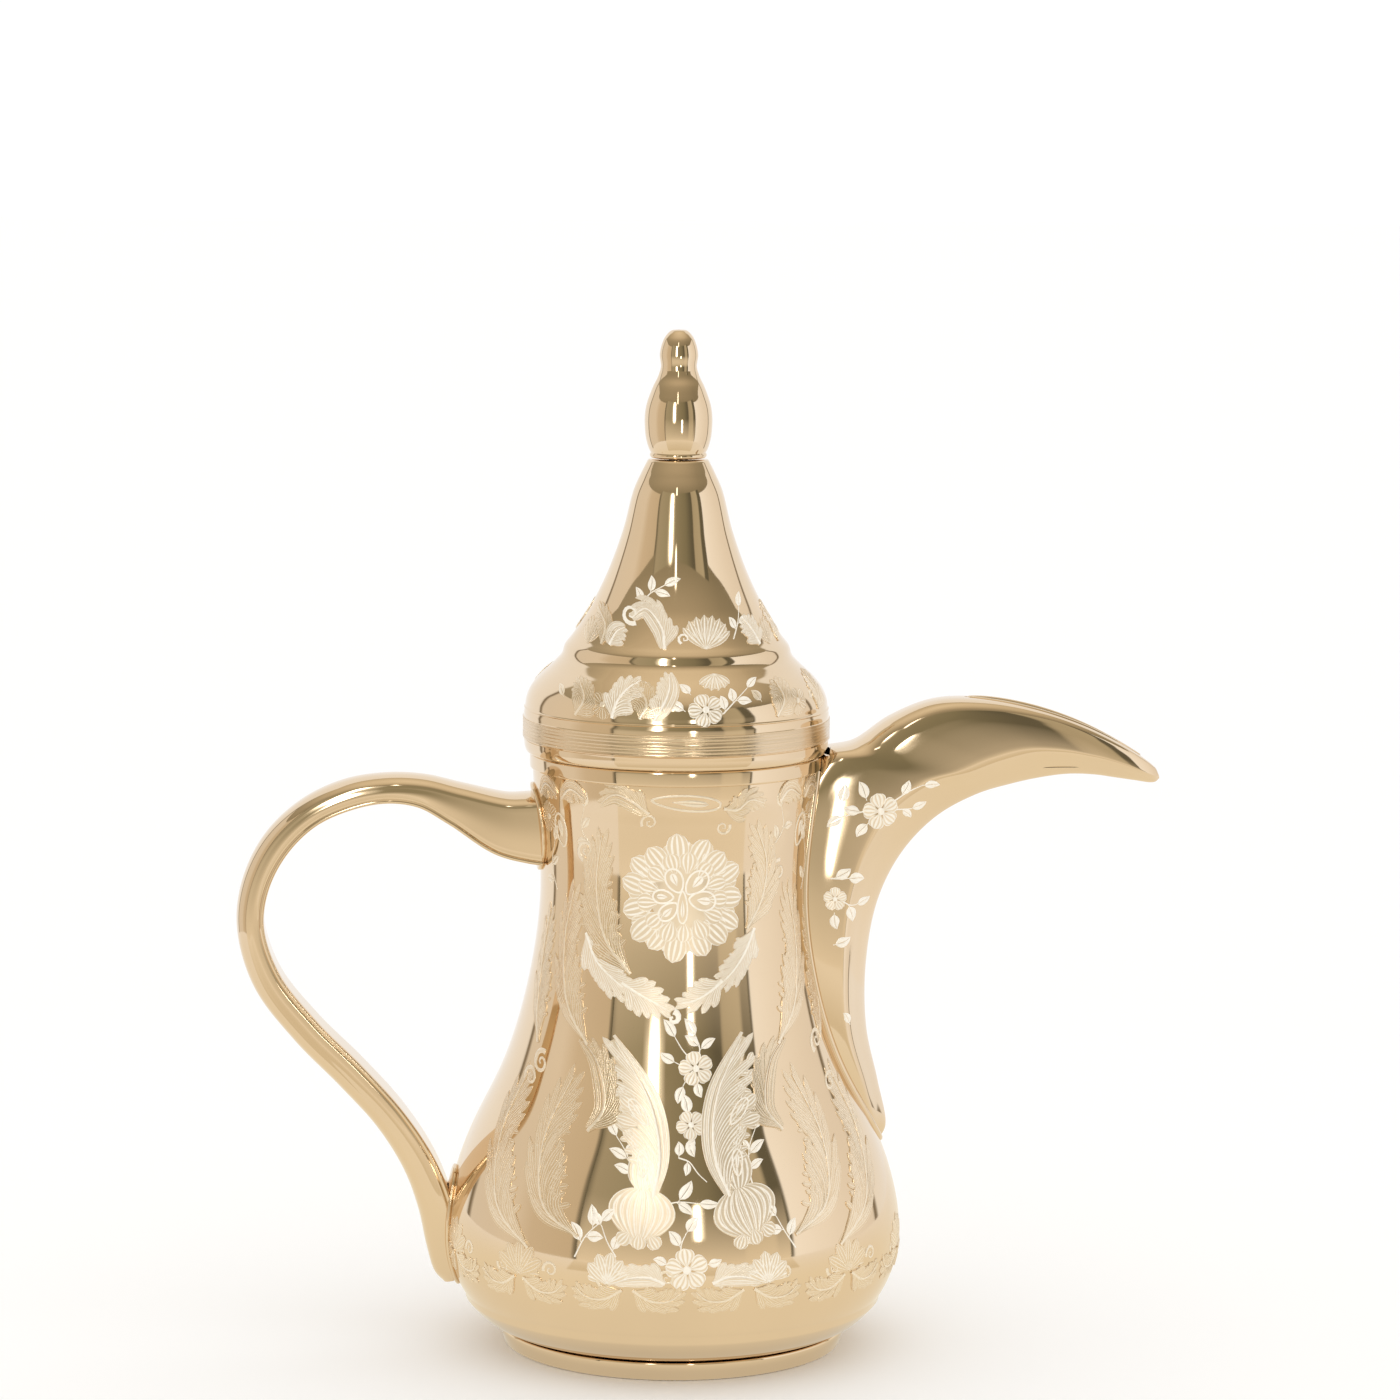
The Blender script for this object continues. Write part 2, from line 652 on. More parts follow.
def spout_rings(inset, rows, sides, first=0, last=None):
    table = np.array([[*a, *b, w] for a, b, w in SPOUT_STATIONS[first:last]], float)
    table = spline(table, rows)
    half_section = spline(SPOUT_SECTION, sides // 2 + 1)
    section = np.vstack([half_section, (half_section * [1, -1])[-2:0:-1]])
    rings = []
    for ax, az, bx, bz, half in table:
        a = np.array([ax, az])
        b = np.array([bx, bz])
        middle = (a + b) / 2
        reach = b - a
        length = np.linalg.norm(reach)
        reach /= length
        along = section[:, 0] * (length / 2 - inset)
        across = section[:, 1] * (half - inset)
        spot = middle + along[:, None] * reach
        rings.append(np.stack([spot[:, 0], across, spot[:, 1]], axis=1))
    return np.array(rings)


def slot_outline(count):
    """The slot's edge seen from above: x along the beak, and y."""
    t = np.linspace(0, 1, count)
    x = SLOT_START + SLOT_LENGTH * t
    half = SLOT_HALF_WIDTH * np.sin(math.pi * t**0.8) ** 0.9
    return np.concatenate([np.stack([x, -half], 1), np.stack([x, half], 1)[-2:0:-1]])


def room(name, radius, low, top=200):
    """A plain cylinder about the pot's axis, for keeping a neighbour's place free."""
    return recalculated(turned(name, [(0, low), (radius, low), (radius, top), (0, top)], ENGRAVED))


def build_spout():
    outer = recalculated(lofted("spout", spout_rings(0, 270, 152), ENGRAVED))
    skin = BVHTree.FromObject(outer, bpy.context.evaluated_depsgraph_get())
    boolean(outer, recalculated(lofted("spout_inside", spout_rings(SPOUT_WALL, 120, 64, 1, -1), ENGRAVED)))
    edge = slot_outline(160)
    low, high = (np.column_stack([edge, np.full(len(edge), z)]) for z in (164.0, 195.0))
    boolean(outer, recalculated(lofted("spout_slot", np.array([low, high]), ENGRAVED)))
    boolean(outer, body_blank(0.06, 200, ENGRAVED))
    boolean(outer, room("lid_room", LID_RADIUS + 0.3, RIM_HEIGHT - 0.25))
    boolean(outer, room("ring_room", RING_RADIUS + 0.1, RING_LOW - 0.2))
    smooth_by_angle(outer, 38)
    return outer, skin


def top_of_skin(skin, x, y):
    hit, normal, _, _ = skin.ray_cast(Vector((x * MM, y * MM, 0.3)), Vector((0, 0, -1)))
    return (np.array(hit) / MM, np.array(normal)) if hit else (None, None)


def build_spout_lip(skin):
    """The rolled edge round the mouth of the beak."""
    path = []
    for x, y in slot_outline(90):
        spot, normal = top_of_skin(skin, x, y)
        path.append(spot - 0.5 * normal)
    path = np.array(path)
    for _ in range(24):
        path = (np.roll(path, 1, axis=0) + 2 * path + np.roll(path, -1, axis=0)) / 4
    path = resample(np.vstack([path, path[:1]]), 241)[:-1]
    rings = swept(path, LIP_RADIUS, LIP_SIDES, closed=True)
    faces = grid_faces(len(rings), LIP_SIDES, True) + joined_ends(len(rings), LIP_SIDES)
    return recalculated(make_mesh("spout_lip", rings.reshape(-1, 3), faces, MIRROR))


def spout_seam(side):
    """Points where the spout's flank meets the body, from the bottom up to the mouth ring."""
    rings = spout_rings(0, 400, 192)
    seam = []
    for ring in rings:
        flank = ring[ring[:, 1] * side > 1e-6]
        flank = flank[np.argsort(-np.abs(flank[:, 0] - 20))]
        reach = np.hypot(flank[:, 0], flank[:, 1])
        wall = np.interp(flank[:, 2], BODY.outline[:, 1], BODY.outline[:, 0])
        inside = np.nonzero(reach < wall)[0]
        if len(inside) and inside[0] > 0 and flank[inside[0], 2] < RING_LOW - 0.2:
            a, b = flank[inside[0] - 1], flank[inside[0]]
            seam.append((a + b) / 2)
    return np.array(seam)


def build_spout_hem():
    """The narrow raised edge along the joint between spout and body: up each flank and round the bottom."""
    right, left = spout_seam(-1), spout_seam(1)
    path = resample(np.vstack([right[::-1], left]), 260)
    for _ in range(8):
        path[1:-1] = (path[:-2] + 2 * path[1:-1] + path[2:]) / 4
    angle = np.arctan2(path[:, 1], path[:, 0])
    height = path[:, 2]
    along = np.gradient(np.column_stack([angle * np.hypot(path[:, 0], path[:, 1]), height]), axis=0)
    along /= np.linalg.norm(along, axis=1)[:, None]
    outward = np.column_stack([along[:, 1], -along[:, 0]])
    section = [(-0.6, 0.0), (-0.6, 0.75), (0.0, 0.95), (0.9, 0.9), (1.45, 0.6), (1.7, 0.15), (1.75, -0.1)]
    rings = []
    for spot, a, h, out in zip(path, angle, height, outward):
        points = []
        for across, lift in section:
            flat = np.array([across * out[0], BODY.run_at(h) + across * out[1]])
            points.append(BODY.place(a, flat, lift))
        rings.append(points)
    return smoothed(lofted("spout_hem", np.array(rings), MIRROR), 50)


# ------------------------------------------------------------------ handle

# Stations along the middle of the handle from the neck to the heel: x, z, half depth, half width.
HANDLE_STATIONS = [
    (-34, 147.4, 10.4, 9.5), (-41, 147.6, 9.6, 9.3), (-48, 148.6, 8.6, 9), (-61, 154, 5.9, 8),
    (-71, 157.8, 4.4, 7.5), (-81, 158.7, 3.9, 7.5), (-92, 156.8, 4, 7.5), (-103, 151.6, 3.9, 7.5),
    (-112, 142.8, 4, 7.5), (-117.6, 131.5, 3.9, 7.5), (-119, 119.5, 3.9, 7.5), (-114.4, 104.4, 4.3, 7.5),
    (-103.6, 90.1, 4.5, 7.6), (-91, 77.2, 4.6, 7.8), (-80.2, 65, 4.6, 8), (-72, 52, 4.8, 8),
    (-67.4, 40, 5, 8), (-65, 29, 5, 7.5), (-63.4, 21.5, 4.4, 6.5), (-62.6, 17.8, 2.4, 3.5),
]


def handle_section(depth, half):
    """Half a section: rounded back, flat flank, groove, bead along the inner edge, and flat inner face."""
    bend = min(3.5, depth * 0.9)
    turn = np.linspace(0, math.pi / 2, 16)
    back = np.stack([depth - bend * (1 - np.cos(turn)), 0.965 * half * np.sin(turn) ** 0.85], axis=1)
    low = -depth
    shoulder = depth - bend
    middle = (shoulder + low + 1.9) / 2
    flank = spline([(shoulder, 0.965 * half), (middle, half), (low + 1.9, 0.985 * half)], 12)
    edge = spline([
        (low + 1.62, half - 0.22), (low + 1.42, half - 0.36), (low + 1.22, half - 0.22), (low + 0.95, half),
        (low + 0.66, half + 0.06), (low + 0.36, half - 0.06), (low + 0.12, half - 0.42), (low, half - 1.0),
    ], 18)
    inner = spline([(low, half - 1.0), (low - 0.02, half * 0.5), (low - 0.02, 0)], 8)
    return np.vstack([back, flank[1:], edge, inner[1:]])


def handle_rings(rows):
    table = spline(HANDLE_STATIONS, rows)
    along = np.gradient(table[:, :2], axis=0)
    along /= np.linalg.norm(along, axis=1)[:, None]
    rings = []
    for (x, z, depth, half), (tx, tz) in zip(table, along):
        section = handle_section(depth, half)
        section = np.vstack([section, (section * [1, -1])[-2:0:-1]])
        out, across = section[:, 0], section[:, 1]
        rings.append(np.stack([x + tz * out, across, z - tx * out], axis=1))
    return np.array(rings)


def build_handle():
    handle = recalculated(lofted("handle", handle_rings(280), MIRROR))
    boolean(handle, body_blank(0.9, 220, MIRROR))
    smooth_by_angle(handle, 45)
    return handle


# The pads' edge, from under the body's surface over the rim to the top: share of the outline, and lift.
PAD_RIM = [
    (0.3, -0.05), (0.98, -0.05), (1.0, 0.15), (1.0, 0.65), (0.985, 0.9), (0.95, 1.05), (0.9, 1.08),
    (0.6, 1.08), (0.3, 1.08),
]


def build_pad(name, centre, half_height, half_width, power):
    """A thin lip that follows the body under one end of the handle, rounded over at its rim."""
    steps = 96
    angle = np.arange(steps) * 2 * math.pi / steps
    a = np.sign(np.cos(angle)) * np.abs(np.cos(angle)) ** power * half_width
    b = np.sign(np.sin(angle)) * np.abs(np.sin(angle)) ** power * half_height
    rings = []
    for share, lift in PAD_RIM:
        inset = min(half_width, half_height) * (1 - share)
        side = a * (1 - inset / half_width)
        run = BODY.run_at(centre) + b * (1 - inset / half_height)
        rings.append(BODY.place(math.pi, np.stack([side, run], axis=1), lift))
    return smoothed(lofted(name, np.array(rings), MIRROR), 50)


# ------------------------------------------------------------------ etched ornament

# Across a blade, from its left edge to its right: position and lift above the metal, in millimetres.
PLAIN = [(-1, -0.06), (-0.86, 0.07), (-0.4, 0.12), (0, 0.13), (0.4, 0.12), (0.86, 0.07), (1, -0.06)]
FLAT = [(-1, -0.06), (-0.97, 0.04), (-0.5, 0.05), (0, 0.05), (0.5, 0.05), (0.97, 0.04), (1, -0.06)]
VEINED = [(-1, -0.06), (-0.86, 0.08), (-0.45, 0.12), (-0.15, 0.12), (0, -0.05), (0.15, 0.12), (0.45, 0.12),
          (0.86, 0.08), (1, -0.06)]


def ribbed(lines):
    """A section with fine raised ribs, the outer two along its edges."""
    count = 2 * lines
    inner = [(2 * k / count - 1, 0.11 if k % 2 == 0 else 0.07) for k in range(1, count)]
    return [(-1, -0.06), (-0.96, 0.11), *inner, (0.96, 0.11), (1, -0.06)]


def blade(path, half_width, section=None, lift=0.0, rows=None, lines=0):
    """One raised, tapering stroke along a flat path, with an even number of ruled spaces across it."""
    flat_ground = section is FLAT
    section = np.array(ribbed(lines) if lines else (section or PLAIN), float)
    path = np.array(path, float)
    length = np.linalg.norm(np.diff(path, axis=0), axis=1).sum()
    rows = rows or int(np.clip(length / 0.9, 9, 44))
    path = spline(path, rows)
    t = np.linspace(0, 1, rows)
    half = np.maximum(half_width(t), 0.03)
    along = np.gradient(path, axis=0)
    along /= np.linalg.norm(along, axis=1)[:, None] + 1e-9
    side = np.stack([-along[:, 1], along[:, 0]], axis=1)
    across = half[:, None] * section[None, :, 0]
    flat = path[:, None, :] + across[..., None] * side[:, None, :]
    thin = np.clip(half / 0.35, 0.35, 1.0)[:, None]
    rise = np.where(section[None, :, 1] > 0, section[None, :, 1] * thin + lift, section[None, :, 1])
    rule = section[None, :, 0] * lines / 2 + (0.5 if flat_ground else 0.0)
    rule = np.broadcast_to(rule, across.shape)
    return {"flat": flat, "lift": rise, "u": rule, "v": np.broadcast_to((t * length)[:, None], across.shape)}


def moved(blades, at=(0, 0), turn=0.0, mirror=False):
    """Copies of blades, mirrored, turned anticlockwise by degrees, then shifted."""
    c, s = math.cos(math.radians(turn)), math.sin(math.radians(turn))
    out = []
    for b in blades:
        flat = b["flat"]
        if mirror:
            flat = (flat * [-1, 1])[:, ::-1]
        flat = flat @ np.array([[c, s], [-s, c]]) + np.array(at, float)
        out.append({**b, "flat": flat})
    return out


def leaf_width(width, stem=0.13):
    def half(t):
        u = np.clip((t - stem) / (1 - stem), 0, 1)
        return np.maximum(0.5 * width * np.sin(math.pi * u**0.78) ** 0.85, 0.13 * (1 - t))
    return half


def lobe_width(width, start=0.12, fullest=0.62):
    """Narrow at the root, fullest beyond the middle, with a round end."""
    def half(t):
        rise = start + (1 - start) * np.sin(np.clip(t / fullest, 0, 1) * math.pi / 2) ** 1.2
        fall = np.sqrt(np.clip(1 - np.clip((t - fullest) / (1 - fullest), 0, 1) ** 2, 0, 1))
        return 0.5 * width * rise * fall
    return half


def leaf(length=4.6, width=2.5, bend=0.35):
    """A pointed leaf on a short stalk, growing up from the origin, with a bright vein."""
    path = [(0, 0), (bend * 0.6, length * 0.35), (bend, length * 0.7), (0, length)]
    return [blade(path, leaf_width(width), VEINED)]


def disc(radius, lift=0.0, section=None):
    def half(t):
        return radius * np.sqrt(np.clip(1 - (2 * t - 1) ** 2, 0, 1))
    return [blade([(0, -radius), (0, radius)], half, section, lift, rows=17)]


def flower(radius=4.0, petals=5, turn=0.0):
    """An open flower with notched petals round a small boss."""
    out = []
    petal = [blade([(0, radius * 0.16), (0, radius * 0.55), (0, radius)], lobe_width(radius * 0.90), lines=4)]
    for k in range(petals):
        out += moved(petal, turn=turn + 360 * k / petals)
    return out + disc(radius * 0.2, 0.12)


def stem(path, start=0.24, end=0.13):
    return [blade(path, lambda t: start + (end - start) * t)]


def sprig(path, leaves):
    """A stem with leaves: each leaf is (place along 0..1, side angle in degrees, length, width)."""
    curve = spline(path, 60)
    out = stem(path)
    for place, lean, length, width in leaves:
        i = int(place * 59)
        ahead = curve[min(i + 1, 59)] - curve[max(i - 1, 0)]
        heading = math.degrees(math.atan2(ahead[1], ahead[0])) - 90
        out += moved(leaf(length, width, 0.3 if lean > 0 else -0.3), curve[i], heading + lean)
    return out


def ruffle(length, width, lift=0.0):
    """One lobe of a big leaf: a broad ruled tongue between two short ones, growing up from the origin."""
    out = []
    for lean, reach in ((-24, 0.80), (26, 0.76)):
        path = [(0, length * 0.25), (0, length * 0.6), (0, length * reach)]
        out += moved([blade(path, lobe_width(width * 0.55, 0.3, 0.7), lift=lift, lines=2)], turn=lean)
    path = [(0, 0), (0, length * 0.5), (0, length)]
    return out + [blade(path, lobe_width(width, 0.25, 0.6), lift=lift + 0.05, lines=4)]


def acanthus(spine, left, right, lobes=7, width=3.0, sweep=0.42, waves=3):
    """A big lobed leaf: ruled lobes leave the midrib and sweep outwards over a satin ground.

    A side whose reach is below 3 mm stays smooth and gets long lines beside the midrib instead."""
    curve = spline(spine, 120)
    length = np.linalg.norm(np.diff(curve, axis=0), axis=1).sum()
    along = np.gradient(curve, axis=0)
    along /= np.linalg.norm(along, axis=1)[:, None]
    normal = np.stack([-along[:, 1], along[:, 0]], axis=1)
    places = np.linspace(0, 1, 120)
    bulge = np.sin(math.pi * (0.04 + 0.92 * places) ** 0.9) ** 0.7
    out = []
    ground = curve + normal * ((left - right) * 0.30 * bulge)[:, None]
    out.append(blade(ground[::6], lambda t: np.interp(t, places, 0.27 * (left + right) * bulge), FLAT, rows=36))
    step = 0.26 / lobes
    for reach, side in ((left, 1), (right, -1)):
        if reach < 3:
            for share in (0.85, 0.45):
                edge = curve + side * normal * (reach * share * bulge)[:, None]
                out.append(blade(
                    edge[2:-2:6], lambda t: reach * 0.26 * np.sin(math.pi * (0.05 + 0.9 * t)) ** 0.8 + 0.05,
                    lift=step * lobes, lines=2, rows=30))
            continue
        count = max(4, round(lobes * reach / max(left, right)))
        for k in range(count):
            tip = 0.20 + 0.80 * (k + 1) / count
            root = max(0.0, tip - sweep)
            u = np.linspace(0, 1, 12)
            t = root + (tip - root) * u
            spread = reach * math.sin(math.pi * (0.06 + 0.88 * tip) ** 0.9) ** 0.55 + 0.6
            spread *= 0.64 + 0.46 * abs(math.sin(math.pi * waves * tip))
            spot = np.stack([np.interp(t, places, curve[:, i]) for i in (0, 1)], axis=1)
            away = np.stack([np.interp(t, places, normal[:, i]) for i in (0, 1)], axis=1)
            path = spot + side * away * (spread * u**1.7)[:, None]
            lift = step * (count - k)
            out.append(blade(path, lobe_width(width * (1.05 - 0.45 * tip), 0.2, 0.68), lift=lift, lines=4,
                             rows=16))
            heading = path[-1] - path[-3]
            turn = math.degrees(math.atan2(heading[1], heading[0])) - 90
            size = min(length * 0.13, spread * 0.8)
            for lean, back, share in ((side * 34, -5, 0.85), (-side * 26, -3, 0.7)):
                tongue = [blade([(0, 0), (0, size * share * 0.5), (0, size * share)],
                                lobe_width(width * 0.42, 0.35, 0.6), lift=lift - 0.02, lines=2)]
                out += moved(tongue, path[back], turn + lean)
    out.append(blade(curve[::8], lambda t: 0.38 * (1 - t) + 0.12, None, step * lobes))
    return out


def pumpkin(width, height, ribs=9):
    """A ribbed, closed bud hanging from the origin, with a curl below."""
    def bulge(t, low, reach, power):
        return np.sin(math.pi * (low + reach * t) ** 0.8) ** power

    path = [(0, 0), (0, -height * 0.5), (0, -height)]
    out = [blade(path, lambda t: 0.5 * width * bulge(t, 0.05, 0.90, 0.75), FLAT)]
    order = sorted(range(ribs), key=lambda k: -abs((k + 0.5) / ribs - 0.5))
    for rank, k in enumerate(order):
        side = (k + 0.5) / ribs * 2 - 1
        u = np.linspace(0, 1, 12)
        x = side * width * 0.46 * bulge(u, 0.05, 0.88, 0.85)
        y = -height * u * (1 - 0.12 * side**2 * u)
        out.append(blade(np.stack([x, y], 1),
                         lambda t: np.maximum(0.66 * width / ribs * bulge(t, 0.06, 0.86, 0.9), 0.12),
                         lift=0.03 * rank, lines=2, rows=20))
    for lean in (-38, 0, 38):
        frill = ruffle(height * 0.30, width * 0.22, 0.3)
        out += moved(frill, (lean * width * 0.004, -height * 0.84), 180 + lean)
    return out + moved(scroll(height * 0.11, 1.2, 1.2), (0, -height * 1.02), 150)


def shell(width, height, ribs=7):
    """A striped half shell growing up from the origin."""
    out = [blade([(0, 0), (0, height * 0.5), (0, height * 0.92)], lobe_width(width * 0.8, 0.2, 0.6), FLAT)]
    for k in range(ribs):
        lean = ((k + 0.5) / ribs * 2 - 1)
        tip = (math.sin(lean * 1.25) * width * 0.5, math.cos(lean * 1.1) * height)
        path = [(0, 0), (tip[0] * 0.55, tip[1] * 0.45), tip]
        out.append(blade(path, lobe_width(width / ribs * 1.15, 0.2, 0.65), lift=0.012 * (k % 2), lines=2))
    return out


def scroll(radius, turns=1.5, width=0.8):
    """A spiral curl that grows from the origin."""
    angle = np.linspace(0, turns * 2 * math.pi, 30)
    fade = radius * (1 - 0.86 * angle / angle[-1])
    path = np.array([radius, 0.0]) + np.stack([-np.cos(angle) * fade, np.sin(angle) * fade], 1)
    return [blade(path, lambda t: 0.5 * width * (0.9 - 0.55 * t), lift=0.03)]


def loop(width, height, stroke=0.45):
    """A closed teardrop outline with a solid drop inside, its point at the origin."""
    t = np.linspace(0, 1, 26)
    x = 0.5 * width * np.sin(2 * math.pi * t) * np.sin(math.pi * t) ** 0.4
    y = height * 0.5 * (1 - np.cos(2 * math.pi * t))
    ring = [blade(np.stack([x, y], 1), lambda s: stroke / 2 + 0 * s, lift=0.06, rows=34)]
    drop = [(0, height * 0.3), (0, height * 0.6), (0, height * 0.82)]
    return ring + [blade(drop, lobe_width(width * 0.42), VEINED, 0.03)]


def polar(degrees, radius):
    """A point at a bearing from straight up, anticlockwise."""
    return (-math.sin(math.radians(degrees)) * radius, math.cos(math.radians(degrees)) * radius)


# The rosette's rows of lobes: how many, inner and outer radius, width, first bearing, and lift.
ROSETTE_ROWS = [(15, 0.46, 1.0, 0.36, 6, 0.0), (13, 0.40, 0.72, 0.30, 17, 0.09)]
# The drops in its middle: bearing, width, height, and distance of their point from the centre.
ROSETTE_DROPS = [(24, 0.30, 0.40, 0.10), (-42, 0.34, 0.44, 0.10), (86, 0.24, 0.32, 0.14),
                 (-98, 0.34, 0.42, 0.10), (134, 0.26, 0.36, 0.12)]


def rosette(radius):
    """Two rows of ruffled lobes round a satin disc that holds five outlined drops and a hanging one."""
    out = []
    for lobes, inner, outer, width, phase, row_lift in ROSETTE_ROWS:
        for k in range(lobes):
            reach = radius * (outer - inner) * (1.0 + 0.07 * math.cos(2.6 * k))
            at = 360 * k / lobes + phase
            lobe = ruffle(reach, radius * width, row_lift + 0.04 * (k % 2))
            out += moved(lobe, polar(at, radius * inner), at + 9 * math.sin(1.7 * k))
    out += disc(radius * 0.50, 0.2, FLAT)
    for turn, width, height, off in ROSETTE_DROPS:
        out += moved(raised(loop(radius * width, radius * height, 0.6)), polar(turn, radius * off), turn)
    return out + moved(raised(loop(radius * 0.17, radius * 0.52, 0.5)), (0, radius * 0.12), 180)


def raised(blades, by=0.3):
    return [{**b, "lift": np.where(b["lift"] > 0, b["lift"] + by, b["lift"])} for b in blades]


def wrapped(surface, around, blades):
    """Blades carried onto a turned surface at a bearing in degrees."""
    return [(surface.place(math.radians(around), b["flat"], b["lift"]), b) for b in blades]


def ornament(name, placed, material):
    """All the placed blades of one material, each a thin closed solid, in one mesh."""
    points, faces, uv = [], [], []
    start = 0
    for spots, b in placed:
        rows, columns = spots.shape[:2]
        points.append(spots.reshape(-1, 3))
        uv.append(np.stack([b["u"], b["v"]], axis=-1).reshape(-1, 2))
        grid = np.arange(rows * columns).reshape(rows, columns) + start
        quads = np.stack([grid[:-1, :-1], grid[:-1, 1:], grid[1:, 1:], grid[1:, :-1]], -1).reshape(-1, 4)
        under = np.stack([grid[:-1, -1], grid[:-1, 0], grid[1:, 0], grid[1:, -1]], -1)
        faces += [tuple(f) for f in np.vstack([quads, under]).tolist()]
        faces += [tuple(grid[0, ::-1].tolist()), tuple(grid[-1].tolist())]
        start += rows * columns
    obj = make_mesh(name, np.vstack(points), faces, material, uv=np.vstack(uv))
    return smoothed(obj, 60)


def on(surface, a, z):
    """A design point: millimetres to the side of a panel's middle line, at a height."""
    return np.array([a, surface.run_at(z)])


def drawn_on(surface, side=1):
    """A pen for paths given as (sideways, height) points, mirrored for the other side."""
    return lambda *points: [tuple(on(surface, side * a, z)) for a, z in points]


# Each pattern gives three lists of blades: small bright leaves, ruled bright leaves and faint ruled leaves.

def tall_leaves():
    """The pair of tall leaves that open upwards like a V, each rising from a ribbed bud."""
    broad = []
    p = drawn_on(BODY)
    broad += acanthus(p((-9.6, 54.5), (-7.6, 65), (-10.2, 79), (-21.0, 96)), 10.0, 2.9, 8, 4.4, 0.40, 3)
    broad += acanthus(p((11.4, 54.5), (7.4, 65), (8.6, 80), (17.2, 97)), 2.9, 10.0, 8, 4.4, 0.40, 3)
    for side, a in ((-1, -12.6), (1, 14.2)):
        pod = [blade([(0, 0), (0, 7), (0, 14.5)], leaf_width(9.0, 0.0), lift=0.04, lines=6)]
        broad += moved(pod, on(BODY, a, 55.6), 5 * side)
        broad += moved(raised(loop(3.2, 7.5, 0.5)), on(BODY, a - side * 0.2, 59.5), 3 * side)
        broad += moved(raised(loop(3.6, 8.5, 0.5), 0.45), on(BODY, a - side * 2.0, 72.5), -34 * side)
        for z, turn in ((72.5, -74), (76.0, -52)):
            broad += moved(ruffle(6.4, 4.0, 0.3), on(BODY, a + side * 0.6, z), side * turn)
        broad += moved(pumpkin(19.0, 14.2, 9), on(BODY, a - side * 0.4, 56.2), -6 if side < 0 else 20)
    return broad


